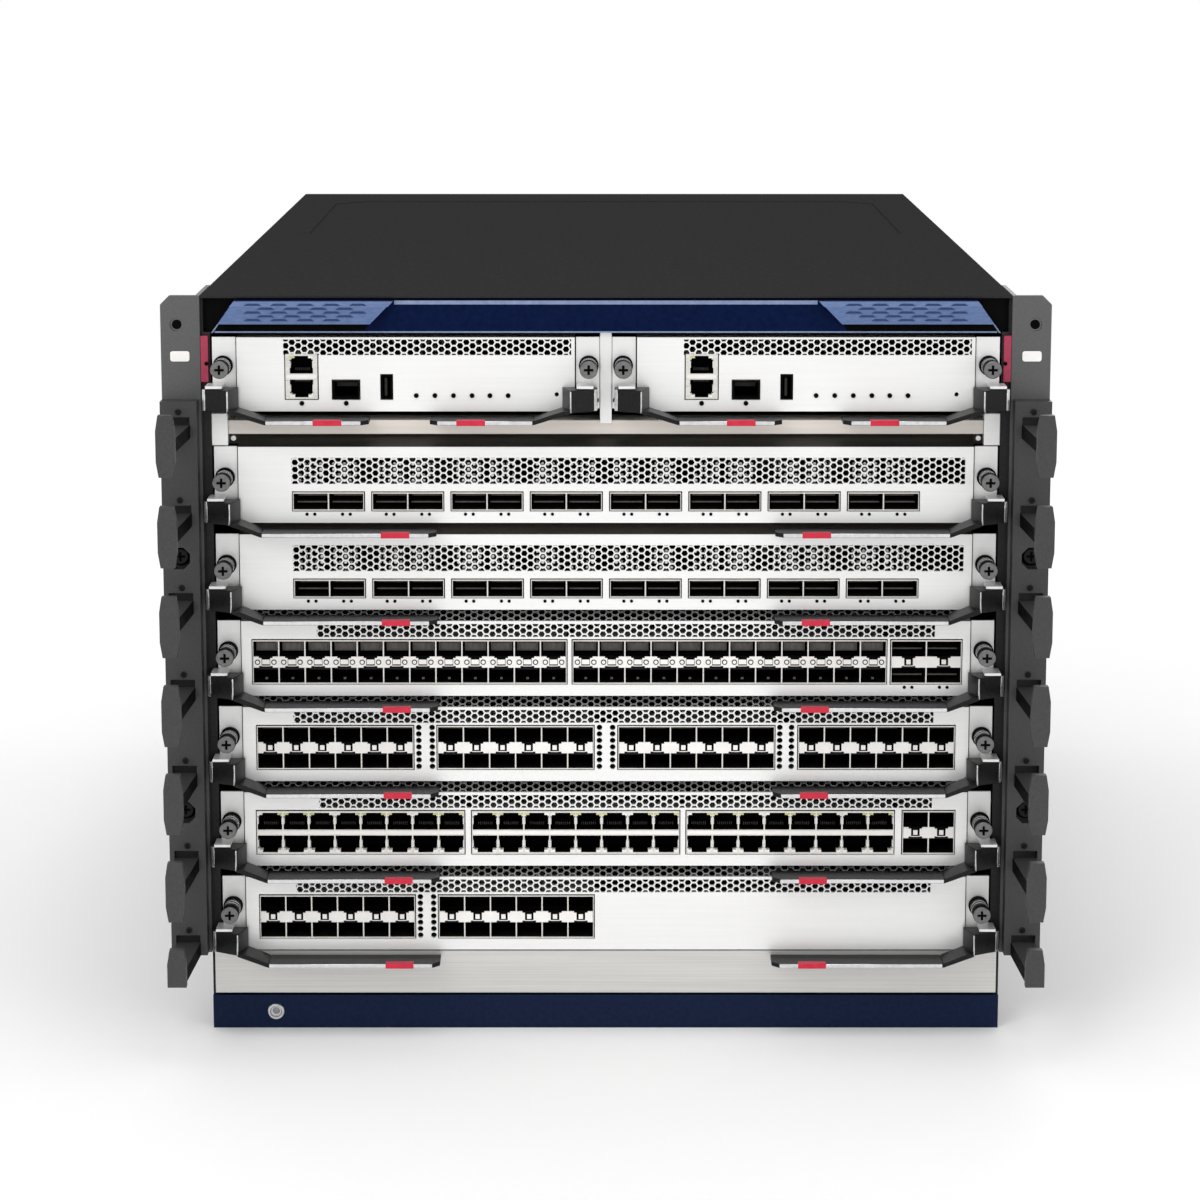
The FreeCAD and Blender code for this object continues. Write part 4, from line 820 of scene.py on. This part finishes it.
def lever(name, sign, sizes):
    """One ejector lever; sign is the side that its bar runs to."""
    low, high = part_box(name)
    front, rear = low.y, high.y
    edge, reach = low.x if sign > 0 else high.x, high.x - low.x
    bar_low = low.z
    bar_top = bar_low + sizes.bar
    root_low, root_top = bar_top + 0.0039, bar_top + 0.0161
    near, ridge_y = rear - 0.007, rear - 0.015
    root, ridge = sizes.root, sizes.ridge
    arm_end = sizes.control_arm_end if "control" in name else sizes.arm_end
    arm_top = root_low + sizes.arm_rise

    def across(*places):
        return [edge + sign * place for place in places]

    body, trim, mark = blanks(3)
    block = zip(across(0, 0, ridge, root, root), (rear, near, ridge_y, rear - 0.0025, rear))
    prism_xy(body, list(block), (root_low, root_top))
    arm = zip(across(ridge, arm_end, arm_end, root, ridge), (root_low, bar_low, bar_top, arm_top, arm_top))
    prism_xz(body, list(arm), (front, rear))
    bar = zip(across(arm_end, arm_end, reach - 0.004, reach, reach),
              (rear, front, front, front + 0.004, rear))
    prism_xy(body, list(bar), (bar_low, bar_top))
    rod(body, (*across(0.0065), rear - 0.0065, root_top + 0.0001), 0.0028, 0.0006, "Z", 20)
    corner = zip(across(-0.0002, -0.0002, 0.0016, 0.0016), (rear, near - 0.0002, near - 0.0015, rear))
    prism_xy(trim, list(corner), (root_low + 0.0003, root_top - 0.0002))
    # Painted highlight: a bright strip along the block's front ridge
    ridge_highlight = zip(across(ridge - 0.0006, ridge, ridge + 0.0005),
                (ridge_y + 0.0002, ridge_y - 0.0003, ridge_y + 0.0002))
    prism_xy(trim, list(ridge_highlight), (root_low, root_top - 0.0004))
    box(trim, across(arm_end + 0.0005, reach - 0.0042), (front - 0.0003, front + 0.001),
        shrink((bar_low, bar_top), 0.0001))
    mark_x = across(reach - sizes.mark_end - sizes.mark, reach - sizes.mark_end)
    box(mark, mark_x, (front - 0.0006, front + 0.004), shrink((bar_low, bar_top), -0.00025))
    # The edge piece holds the bright strips and the painted ridge highlight
    shape, *rest = pieces(name, name, "lever_black", ("body", body, "lever_paint", 0.0005, 2),
                          ("edge", trim, "bright_metal", 0.0002, 1), ("mark", mark, "red_mark", 0.0002, 2))
    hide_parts(name)


class SWITCH_OT_levers(bpy.types.Operator):
    """Build the ejector levers with their bright edge strips, a painted highlight on each front ridge, and red
    marks
    """

    bl_idname = "switch.levers"
    bl_label = "Levers"

    def execute(self, context):
        rows = [(f"{name}_{side}", sign) for name in CARDS for side, sign in (("left", 1), ("right", -1))]
        rows += [("left_control_outer", 1), ("left_control_inner", -1), ("right_control_outer", -1),
                 ("right_control_inner", 1)]
        for name, sign in rows:
            lever(f"{name}_lever", sign, context.scene.switch_levers)
        return {"FINISHED"}


def cross_radius(angle, reach, half):
    """The outline of a cross recess, as a distance from its middle."""
    turn = (angle + math.pi / 4) % (math.pi / 2) - math.pi / 4
    return min(reach / math.cos(turn), half / max(abs(math.sin(turn)), 1e-6))


def screw_head(bm, x, y, z, radius, length, recess=0.0026, bevel=0.0004):
    """A round head with a bevelled rim, its front at y, with a cross recess."""
    matrix = Matrix.Translation((x, y, z)) @ Matrix.Rotation(math.pi / 2, 4, "X")
    bmesh.ops.create_circle(bm, cap_ends=True, segments=48, radius=radius - bevel, matrix=matrix)
    bm.faces.ensure_lookup_table()
    face = bm.faces[-1]
    slant = bmesh.ops.extrude_edge_only(bm, edges=list(face.edges))["geom"]
    for vert in verts_in(slant):
        away = Vector((vert.co.x - x, 0, vert.co.z - z))
        vert.co += away * (bevel / away.length) + Vector((0, bevel, 0))
    edges = [part for part in slant if isinstance(part, bmesh.types.BMEdge)]
    skirt = bmesh.ops.extrude_edge_only(bm, edges=edges)["geom"]
    bmesh.ops.translate(bm, vec=(0, length - bevel, 0), verts=verts_in(skirt))
    bmesh.ops.inset_individual(bm, faces=[face], thickness=radius * 0.3)
    for vert in face.verts:
        away = Vector((vert.co.x - x, 0, vert.co.z - z))
        reach = cross_radius(math.atan2(away.z, away.x), recess, recess * 0.27)
        vert.co = Vector((x, y, z)) + away.normalized() * reach
    deep = bmesh.ops.extrude_discrete_faces(bm, faces=[face])["faces"][0]
    bmesh.ops.translate(bm, vec=(0, min(0.0022, length * 0.6), 0), verts=deep.verts)


def cross(bm, x, y, z, reach=0.0026):
    """Painted shade: a dark cross laid in a cross recess, where shade falls."""
    thin = reach * 0.26
    box(bm, about(x, reach), (y, y + 0.0002), about(z, thin))
    box(bm, about(x, thin), (y - 0.00005, y + 0.00025), about(z, reach))


def captive_screws(name, sizes, wing):
    """A module's two screws: a dark flange, a bright collar, two fine rings, a head with a dark rim and
    painted shade in its cross recess.
    """
    ends = control_edges(name) if name in CONTROLS else (wing - HALF, HALF - wing)
    z, sleeve = module_base(name) + 0.025, sizes.sleeve
    heads, bright, dark = blanks(3)
    for x in shrink(ends, SCREW_INSET):
        # Painted shade in the head's cross recess
        cross(dark, x, FRONT - 0.0176, z)
        screw_head(heads, x, FRONT - 0.018, z, sizes.screw, 0.0075)
        for bm, depth, radius, length in (
                (dark, 0.0008, sleeve + 0.0012, 0.0025), (bright, -0.0012, sleeve + 0.0004, 0.0015),
                (dark, -0.0061, sleeve, 0.0083), (bright, -0.0082, sleeve + 0.0005, 0.0012),
                (bright, -0.0048, sleeve + 0.0005, 0.0012)):
            rod(bm, (x, FRONT + depth, z), radius, length, sides=32)
        rod(dark, (x, FRONT - 0.0142, z), sizes.screw + 0.0001, 0.0058, sides=40)
    pieces(name, name, "faceplate_nickel", ("screw_marks", dark, "dark_plastic"),
           ("screw_heads", heads, "screw_metal"), ("screw_sleeves", bright, "bright_metal"))


class SWITCH_OT_screws(bpy.types.Operator):
    """Build the captive screws of the modules"""

    bl_idname = "switch.screws"
    bl_label = "Captive screws"

    def execute(self, context):
        for name in CARDS + CONTROLS:
            captive_screws(name, context.scene.switch_trim, context.scene.switch_faceplates.wing)
        return {"FINISHED"}


# Trim on the chassis

def ear_plates(sizes):
    """A blank plate on each ear, where the object has lettering, and the ears' upper holes."""
    plates, bush, bore = blanks(3)
    side, top = abs(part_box("left_rack_ear")[0].x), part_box("left_rack_ear")[1].z
    for sign in (-1, 1):
        box(plates, about(sign * (side - 0.0103), sizes.plate_width / 2), behind(-0.0004, 0.0002),
            about(top - 0.0331, sizes.plate_height / 2))
        x, z = sign * (side - HOLE_INSET), top - 0.0159
        rod(bush, (x, FRONT + 0.0022, z), 0.00358, 0.0012, sides=40)
        rod(bore, (x, FRONT + 0.0014, z), 0.0026, 0.0004, sides=40)
    corners = [edge for edge in plates.edges if abs(edge.verts[0].co.y - edge.verts[1].co.y) > 1e-5]
    bmesh.ops.bevel(plates, geom=corners, offset=0.0013, segments=4, profile=0.5, affect="EDGES", material=-1)
    pieces("ear", "chassis", "ear_charcoal", ("plates", plates, "light_plastic"),
           ("bushes", bush, "screw_metal"), ("bores", bore, "dark_plastic"))


def tab_holes():
    """The dark hole low in each crimson tab."""
    low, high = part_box("side_tabs")
    bm = bmesh.new()
    for sign in (-1, 1):
        place = (sign * (high.x - 0.0031), low.y - 0.00005, low.z + 0.4 * (high.z - low.z))
        rod(bm, place, 0.0011, 0.0004, sides=24)
    piece("tab_holes", bm, "chassis", "crimson_tab", "dark_plastic")


def guide_screws():
    """The screws of the cable guides and ears, with painted shade in the ear screws' cross recesses, and dark
    plates of painted shade on the inner sides of the guides' arms.
    """
    heads, marks, arm_side_shade = blanks(3)
    face, top = FRONT - 0.01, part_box("guide_screws")[1].z - 0.0015
    middle = sum(abs(corner.x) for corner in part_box("left_cable_guide")) / 2
    hole = abs(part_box("left_rack_ear")[0].x) - HOLE_INSET
    for sign in (-1, 1):
        for number in range(7):
            z = top - number * 0.0485
            screw_head(heads, sign * middle, face - 0.001, z, 0.0017, 0.001, 0.0009)
            # Painted shade: a dark plate on the inner side of each guide arm, which lies in shade
            x = [sign * place for place in (0.2253, 0.2251, 0.2274, 0.2276)]
            y = (face, face, face - 0.052, face - 0.052)
            prism_xy(arm_side_shade, list(zip(x, y))[::-sign], (z - 0.0145, z - 0.0073))
        for drop in (0.1429, 0.2858):
            z = COVER[1].z - drop
            screw_head(heads, sign * hole, FRONT - 0.0042, z, 0.0044, 0.0042)
            # Painted shade in the head's cross recess
            cross(marks, sign * hole, FRONT - 0.0038, z)
            rod(marks, (sign * hole, FRONT - 0.0004, z), 0.0056, 0.0008, sides=32)
    shape = piece("guide_screw_heads", heads, "chassis", "screw_black", "lever_paint")
    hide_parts("guide_screws")
    piece("guide_arm_shade", arm_side_shade, "chassis", "guide_charcoal", "dark_plastic")
    piece("guide_washers_and_shade", marks, "chassis", "screw_black", "dark_plastic")


def fascia_pad(sign, low, high, sizes, pads, relief, shade):
    """One pad with a slanted top, its rows of long hexagons of painted shade and the painted shadow below it.
    """
    top, nose, foot, front = high.z - 0.0004, high.z - 0.003, high.z - PAD_RISE, low.y
    outer = HALF - PAD_INSET
    inner = outer - PAD_WIDTH

    def mirror(*points):
        return [(sign * x, z) for x, z in points][::sign]

    ends = mirror((outer + OUTWARD * 0.003 - 0.0003, nose), (inner + 0.0035, nose), (inner + PAD_SLANT, foot),
                  (outer + OUTWARD * PAD_RISE - 0.0003, foot))
    prism_xz(pads, ends, (front - 0.0003, front + 0.0002))
    slant = [(outer + OUTWARD * 0.003, nose, front - 0.0003), (inner + 0.003, nose, front - 0.0003),
             (inner + 0.0004, top, front + 0.0024), (outer, top, front + 0.0024)]
    extrude(pads, [outline(pads, [(sign * x, y, z) for x, z, y in slant])], (0, 0.0004, 0))
    half = sizes.hex_shade_width / 2
    for row in range(5):
        z = high.z - 0.0022 - row * 0.00205
        y = front - 0.0006 + max(0, 0.003 - (high.z - z)) * 0.9
        edge = inner + 0.0095 + PAD_SLANT * (high.z - z) / PAD_RISE
        for number in range(7):
            # Each long hexagon is painted shade: the dark edge of one tile of the pad's relief
            x = 0.1195 + number * sizes.relief_pitch + (row % 2) * sizes.relief_pitch / 2
            if edge < x < outer - 0.004:
                shape = mirror((x - half, z - 0.0003), (x + half, z - 0.0003), (x + half * 0.62, z + 0.0008),
                               (x - half * 0.62, z + 0.0008))
                prism_xz(relief, shape, (y, y + 0.0008))
    # Painted shadow: a dark strip on the fascia below the pad
    under = mirror((inner + 0.0132, foot - 0.0001), (inner + 0.0162, low.z + 0.0009),
                   (outer + OUTWARD * 0.0165, low.z + 0.0009), (outer + OUTWARD * PAD_RISE, foot - 0.0001))
    prism_xz(shade, under, behind(-0.0011, 0))


def fascia(sizes):
    """Painted highlights along the fascia's edges, and both pads with long hexagons of painted shade in
    staggered rows.
    """
    low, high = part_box("top_fascia")
    pads, relief, lines, shade = blanks(4)
    width, inner = high.x, HALF - PAD_INSET - PAD_WIDTH
    # Painted highlights: pale strips where light catches the fascia's top edge and foot
    box(lines, about(0, inner - 0.0002), behind(-0.0013, -0.0005), (high.z - 0.0024, high.z - 0.0003))
    box(lines, about(0, width - 0.002), behind(-0.0014, 0), (low.z + 0.0001, low.z + 0.0009))
    for sign in (-1, 1):
        fascia_pad(sign, low, high, sizes, pads, relief, shade)
        # Painted highlight along each end of the fascia
        x = [sign * place for place in (width, width - 0.0128, width - 0.0136, width - 0.0009)]
        top = high.z - 0.0001
        prism_xz(lines, list(zip(x, (low.z, top, top, low.z))), behind(-0.0013, 0))
    # Of these pieces, the dark one below the pads is painted shadow, the long hexagons are painted shade of
    # the pads' relief and the pale strips are painted highlights
    pieces("fascia", "chassis", "navy_fascia", ("recess", shade, "dark_plastic"), ("pads", pads, "pad_blue"),
           ("relief", relief, "relief_blue"), ("lines", lines, "pale_blue"))


def strap_socket():
    """The wrist strap's socket: a turned ring with a dark bore."""
    low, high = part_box("ground_socket")
    x, z = (low.x + high.x) / 2, (low.z + high.z) / 2
    profile = ((0.0046, 0.0), (0.0046, -0.001), (0.0042, -0.0014), (0.0034, -0.0014), (0.0031, -0.0009),
               (0.0029, -0.0006), (0.0029, 0.0006), (0.0021, 0.0006), (0.0021, 0.0096), (0.0, 0.0096))
    bm = bmesh.new()
    verts = [bm.verts.new((x + radius, FRONT + depth, z)) for radius, depth in profile]
    edges = [bm.edges.new(pair) for pair in zip(verts, verts[1:])]
    lathe(bm, verts + edges, (x, FRONT, z), 48)
    bmesh.ops.remove_doubles(bm, verts=bm.verts, dist=1e-6)
    ring = piece("strap_socket", bm, "chassis", "nickel", "bright_metal", smooth=25)
    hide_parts("ground_socket")


def bay_frame():
    """The welded front frame in its paints, its top band black as painted shade."""
    low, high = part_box("bay_frame")
    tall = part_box("card_1_faceplate")[1].z
    beam_z, floor_z, head = tall + 0.0065, tall + 0.0142, high.z - 0.0187
    opening = about(0, RAIL - POST_WIDTH)
    beam, dark, band, white, screws = blanks(5)
    box(beam, opening, behind(0.004, BAY_DEPTH), (beam_z, floor_z))
    box(dark, opening, behind(0.008, BAY_DEPTH), (low.z, beam_z))
    box(dark, about(0, RAIL), (FRONT + BAY_DEPTH, high.y), (floor_z - 0.0015, floor_z))
    # Painted shade: the top band, set back under the fascia, is black for the shade it lies in
    box(band, about(0, HALF - 0.0015), behind(0.006, BAY_DEPTH), (head, high.z))
    for side in (-1, 1):
        for level in (floor_z + 0.0089, floor_z + 0.0146):
            box(dark, (side * 0.001, side * 0.0085), (FRONT + BAY_DEPTH, 0), (level, level + 0.0012))
        post = (side * (RAIL - POST_WIDTH), side * RAIL)
        box(white, post, behind(0.002, BAY_DEPTH), (low.z, floor_z + 0.004))
        screw_head(screws, side * 0.2035, FRONT + 0.007, low.z + 0.0032, 0.0017, 0.001, 0.0009)
    box(white, about(0, 0.0032), behind(0.002, BAY_DEPTH), (floor_z - 0.0015, head))
    box(white, about(0, 0.001), (FRONT + BAY_DEPTH, high.y), (floor_z, head))
    bulk = piece("bay_edges", dark, "chassis", "frame_beige", "edge_paint_and_shade")
    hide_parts("bay_frame")
    pieces("bay", "chassis", "frame_beige", ("beam", beam, "beam_beige", 0.0003), ("top", band, "black_paint"),
           ("posts", white, "faceplate_nickel", 0.0003), ("screws", screws, "bright_metal"))


class SWITCH_OT_trim(bpy.types.Operator):
    """Build the ears' blank plates, the guides' screws, the fascia's painted relief shade and highlights, and
    the strap socket
    """

    bl_idname = "switch.trim"
    bl_label = "Trim"

    def execute(self, context):
        ear_plates(context.scene.switch_trim)
        guide_screws()
        tab_holes()
        fascia(context.scene.switch_trim)
        strap_socket()
        bay_frame()
        return {"FINISHED"}


# The rear

def screw_head_rear(bm, x, z):
    """A round head that faces the rear."""
    rod(bm, (x, REAR + 0.0009, z), 0.0032, 0.0018, end_radius=0.0024)


def tray_middle(side):
    """The middle of a fan tray across the body."""
    low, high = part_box(f"{side}_fan_tray")
    return (low.x + high.x) / 2


def tray(side, sizes):
    """A fan tray's finger guards, blank plate and indicator lenses."""
    name = f"{side}_fan_tray"
    low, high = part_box(name)
    sign = 1 if low.x > 0 else -1
    wires, plates, lens = blanks(3)
    x = tray_middle(side)
    for row in (1, 2):
        first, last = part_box(f"{side}_fan_rotor_{row}")
        z = (first.z + last.z) / 2
        for ring in range(sizes.guard_rings):
            hoop(wires, x, REAR + 0.0016, z, 0.03 + ring * 0.0085, sizes.guard_wire)
        for turn in range(4):
            bar = bmesh.new()
            box(bar, about(0, 0.0014), (REAR + 0.0004, REAR + 0.0022), (0.02, 0.0785))
            spin = Matrix.Rotation(math.radians(45 + 90 * turn), 4, "Y")
            absorb(wires, bar, Matrix.Translation((x, 0, z)) @ spin)
        for across in about(x, 0.066):
            for up in about(z, 0.066):
                screw_head_rear(wires, across, up)
    box(plates, (sign * 0.012, sign * 0.04), (REAR, REAR + 0.0006), (high.z - 0.014, high.z - 0.004))
    middle = (low.z + high.z) / 2
    for rise in (middle, middle + 0.012):
        rod(lens, (sign * 0.02, REAR + 0.0006, rise), 0.0018, 0.0012, sides=20)
    piece(f"{name}_guards", wires, name, "tray_steel", "bare_steel", smooth=50)
    pieces(name, name, "tray_steel", ("plate", plates, "light_plastic", 0.0002), ("lenses", lens, "lamp"))


def hoop(bm, x, y, z, radius, wire):
    """One ring of a finger guard."""
    place = Matrix.Translation((x + radius, y, z))
    verts = bmesh.ops.create_circle(bm, segments=6, radius=wire / 2, matrix=place)["verts"]
    edges = {edge for vert in verts for edge in vert.link_edges}
    lathe(bm, verts + list(edges), (x, y, z), 40)


def fan(side, row, sizes):
    """A fan's hub and twisted blades."""
    name = f"{side}_fan_rotor_{row}"
    low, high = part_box(name)
    tray_low, tray_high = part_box(f"{side}_fan_tray")
    pitch = (tray_high.z - tray_low.z + 0.0005) / 2
    x, z = tray_middle(side), tray_low.z + pitch * (row - 0.5)
    middle, thick = (low.y + high.y) / 2, high.y - low.y
    root, tip, steps = sizes.hub - 0.002, 0.0735, 7
    bm = bmesh.new()
    rod(bm, (x, middle, z), sizes.hub, thick, sides=48)
    for blade in range(sizes.blades):
        part = bmesh.new()
        rows = []
        for step in range(steps):
            share = step / (steps - 1)
            radius = root + (tip - root) * share
            lean, chord = math.radians(58 - 26 * share), 0.024 + 0.012 * share
            across = math.cos(lean) * chord / 2
            along = min(math.sin(lean) * chord / 2, thick / 2 - 0.001)
            sweep = 0.35 * share ** 2 * radius
            rows.append([part.verts.new((sweep + aside, middle + back, radius))
                         for aside, back in ((-across, -along), (0.002, 0.0), (across, along))])
        for one, two in zip(rows, rows[1:]):
            for index in range(2):
                part.faces.new((one[index], one[index + 1], two[index + 1], two[index]))
        bmesh.ops.solidify(part, geom=part.faces[:], thickness=0.0014)
        turn = Matrix.Rotation(2 * math.pi * blade / sizes.blades, 4, "Y")
        absorb(bm, part, Matrix.Translation((x, 0, z)) @ turn)
    rotor = piece(f"{name}_blades", bm, name, "fan_black", "fan_plastic", smooth=40)
    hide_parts(name)


def side_screws():
    """Flat screws that hold the cover and the frames, along both sides."""
    bm = bmesh.new()
    for side in (-1, 1):
        for y in (-0.24, -0.08, 0.08, 0.24, 0.318):
            for z in (0.012, 0.2, COVER[0].z - 0.008):
                rod(bm, (side * (HALF + 0.0002), y, z), 0.0032, 0.0012, "X", 20)
    piece("side_screws", bm, "chassis", "chassis_black", "screw_metal")


def supply(name):
    """A power supply's inlet with three pins, its vent and its lens."""
    low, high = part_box(name)
    left, middle = low.x, (low.z + high.z) / 2
    inlet, pins, field, dark, lens = blanks(5)
    absorb(inlet, rim((-left - 0.0365, -left - 0.0065), about(middle, 0.0115), 0.002, 0.003),
           facing_rear(REAR + 0.0015))
    for across, rise in ((0.015, -0.002), (0.0215, 0.003), (0.028, -0.002)):
        box(pins, about(left + across, 0.001), (REAR - 0.015, REAR - 0.004), about(middle + rise, 0.003))
    u = (-left - 0.072, -left - 0.044)
    holes = (shrink(u, 0.002), about(middle, 0.0145), (u[0] + 0.004, middle))
    absorb(field, perforated(u, about(middle, 0.0165), (), [holes], (), (0.0039, 0.0009), 0.001),
           facing_rear(REAR + 0.001))
    box(dark, shrink((-u[1], -u[0]), 0.001), (REAR + 0.0001, REAR + 0.0003), about(middle, 0.0155))
    rod(lens, (left + 0.0765, REAR + 0.0006, middle + 0.012), 0.0016, 0.0012, sides=16)
    pieces(name, name, "supply_steel", ("inlet", inlet, "dark_plastic", 0.0003),
           ("pins", pins, "bright_metal"), ("vent", field, "bare_steel"),
           ("backing", dark, "dark_plastic"), ("lens", lens, "lamp"))


class SWITCH_OT_rear(bpy.types.Operator):
    """Build the fan trays, fans and power supplies"""

    bl_idname = "switch.rear"
    bl_label = "Rear"

    def execute(self, context):
        sizes = context.scene.switch_rear
        for side in ("left", "right"):
            tray(side, sizes)
            for row in (1, 2):
                fan(side, row, sizes)
        for number in range(1, 5):
            supply(f"power_supply_{number}")
        side_screws()
        return {"FINISHED"}


# Paint on the CAD nodes that stay visible: the finish, the width of the rounded edges and the nodes
PAINT = [
    ("body_paint", 0.0, ["chassis_tub", "rear_frame", "left_fan_tray", "right_fan_tray"]),
    ("cover_paint", 0.0003, ["top_cover"]),
    ("bare_steel", 0.0, ["power_shelf", *(f"power_supply_{number}" for number in range(1, 5))]),
    ("panel_silver", 0.0, ["lower_panel"]),
    ("base_navy", 0.0, ["base_band"]),
    ("navy_fascia", 0.0004, ["top_fascia"]),
    ("ear_paint", 0.0004, ["left_rack_ear", "right_rack_ear"]),
    ("guide_plastic", 0.0006, ["left_cable_guide", "right_cable_guide"]),
    ("rail_paint", 0.0, ["left_card_guides", "right_card_guides"]),
    ("crimson_tab", 0.0003, ["side_tabs"]),
    ("circuit_board", 0.0, ["midplane"]),
]


class SWITCH_OT_paint(bpy.types.Operator):
    """Give the CAD nodes that stay visible their procedural finish and rounded edges"""

    bl_idname = "switch.paint"
    bl_label = "Paint"

    def execute(self, context):
        for material, bevel, names in PAINT:
            for name in names:
                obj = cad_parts[name]
                obj.data.materials.clear()
                obj.data.materials.append(finish(material))
                if bevel:
                    weld = obj.modifiers.new("weld", "WELD")
                    weld.merge_threshold = 1e-6
                    soften(obj, bevel)
        return {"FINISHED"}


# The stage

def link(name, data):
    """Puts a new object in the scene."""
    made = bpy.data.objects.new(name, data)
    bpy.context.scene.collection.objects.link(made)
    return made


def camera(scene, sizes):
    data = bpy.data.cameras.new("camera")
    data.lens, data.sensor_width, data.shift_y = sizes.lens, 36, -0.1
    data.clip_end = 50
    scene.camera = link("camera", data)
    scene.camera.location = (-0.0032, -sizes.camera_distance, sizes.camera_height)
    scene.camera.rotation_euler = (math.pi / 2 - sizes.tilt, 0, 0)


def pale_floor():
    bm = bmesh.new()
    bmesh.ops.create_grid(bm, x_segments=1, y_segments=1, size=60)
    mesh = bpy.data.meshes.new("floor")
    bm.to_mesh(mesh)
    bm.free()
    mesh.materials.append(floor_paint())
    floor = link("floor", mesh)


def floor_paint():
    """Pale paint that runs out to plain white some way from the object."""
    made = finish("floor")
    tree = made.node_tree
    where, away = node(tree, "TexCoord"), node(tree, "VectorMath")
    away.operation = "LENGTH"
    fade = node(tree, "MapRange", From_Min=0.8, From_Max=2.2)
    fade.interpolation_type = "SMOOTHSTEP"
    white, mix = node(tree, "Emission"), node(tree, "MixShader")
    connect(tree, (where, "Object", away, 0), (away, "Value", fade, "Value"), (fade, "Result", mix, "Fac"),
            (tree.nodes["Principled BSDF"], "BSDF", mix, 1), (white, "Emission", mix, 2),
            (mix, "Shader", tree.nodes["Material Output"], "Surface"))
    return made


def lights():
    """Soft lamps, each with its place and power, that look at the object's foot."""
    rows = (("key", (-1.5, -2.6, 2.2), 26), ("fill", (2.2, -2.4, 1.0), 12), ("back", (0.4, 2.8, 1.6), 20),
            ("top", (0, -0.6, 3.0), 16))
    for name, place, power in rows:
        data = bpy.data.lights.new(name, "AREA")
        data.size, data.energy = 1.6, power
        light = link(name, data)
        light.location = place
        light.rotation_euler = (Vector((0, 0, 0.2)) - Vector(place)).to_track_quat("-Z", "Y").to_euler()


def surroundings(scene):
    """A white room that lights less than it shows."""
    world = bpy.data.worlds.new("studio")
    scene.world = world
    world.use_nodes = True
    tree = world.node_tree
    back = tree.nodes["Background"]
    back.inputs["Color"].default_value = (1, 1, 1, 1)
    back.inputs["Strength"].default_value = 0.8
    white = node(tree, "Background", Color=(1, 1, 1, 1), Strength=1.0)
    path, mix = node(tree, "LightPath"), node(tree, "MixShader")
    connect(tree, (path, "Is Camera Ray", mix, "Fac"), (back, "Background", mix, 1),
            (white, "Background", mix, 2), (mix, "Shader", tree.nodes["World Output"], "Surface"))


class SWITCH_OT_stage(bpy.types.Operator):
    """Set up the camera, the light and a plain pale floor"""

    bl_idname = "switch.stage"
    bl_label = "Stage"

    def execute(self, context):
        camera(context.scene, context.scene.switch_stage)
        pale_floor()
        lights()
        surroundings(context.scene)
        context.scene.view_settings.view_transform = "Standard"
        return {"FINISHED"}


class SWITCH_PT_panel(bpy.types.Panel):
    """The sidebar panel of the switch"""

    bl_idname = "SWITCH_PT_panel"
    bl_label = "Modular switch"
    bl_space_type = "VIEW_3D"
    bl_region_type = "UI"
    bl_category = "Switch"

    def draw(self, context):
        for name, group, operators in STEPS:
            section = self.layout.box()
            for size_name in group.__annotations__:
                section.prop(getattr(context.scene, name), size_name)
            for operator in operators:
                section.operator(operator.bl_idname)


STEPS = [
    ("switch_faceplates", FaceplateSizes, [SWITCH_OT_faceplates]),
    ("switch_ports", PortSizes, [SWITCH_OT_ports, SWITCH_OT_boards]),
    ("switch_levers", LeverSizes, [SWITCH_OT_levers]),
    ("switch_trim", TrimSizes, [SWITCH_OT_screws, SWITCH_OT_trim, SWITCH_OT_paint]),
    ("switch_rear", RearSizes, [SWITCH_OT_rear]),
    ("switch_stage", StageSizes, [SWITCH_OT_stage]),
]
GROUPS = {name: group for name, group, operators in STEPS}
CLASSES = [*GROUPS.values(), *(each for name, group, operators in STEPS for each in operators),
           SWITCH_PT_panel]


def register():
    for each in CLASSES:
        bpy.utils.register_class(each)
    for name, group in GROUPS.items():
        setattr(bpy.types.Scene, name, PointerProperty(type=group))


def unregister():
    for name in GROUPS:
        delattr(bpy.types.Scene, name)
    for each in reversed(CLASSES):
        bpy.utils.unregister_class(each)


def main():
    register()
    bpy.ops.switch.faceplates()
    bpy.ops.switch.ports()
    bpy.ops.switch.boards()
    bpy.ops.switch.levers()
    bpy.ops.switch.screws()
    bpy.ops.switch.trim()
    bpy.ops.switch.rear()
    bpy.ops.switch.paint()
    bpy.ops.switch.stage()


if __name__ == "__main__":
    main()
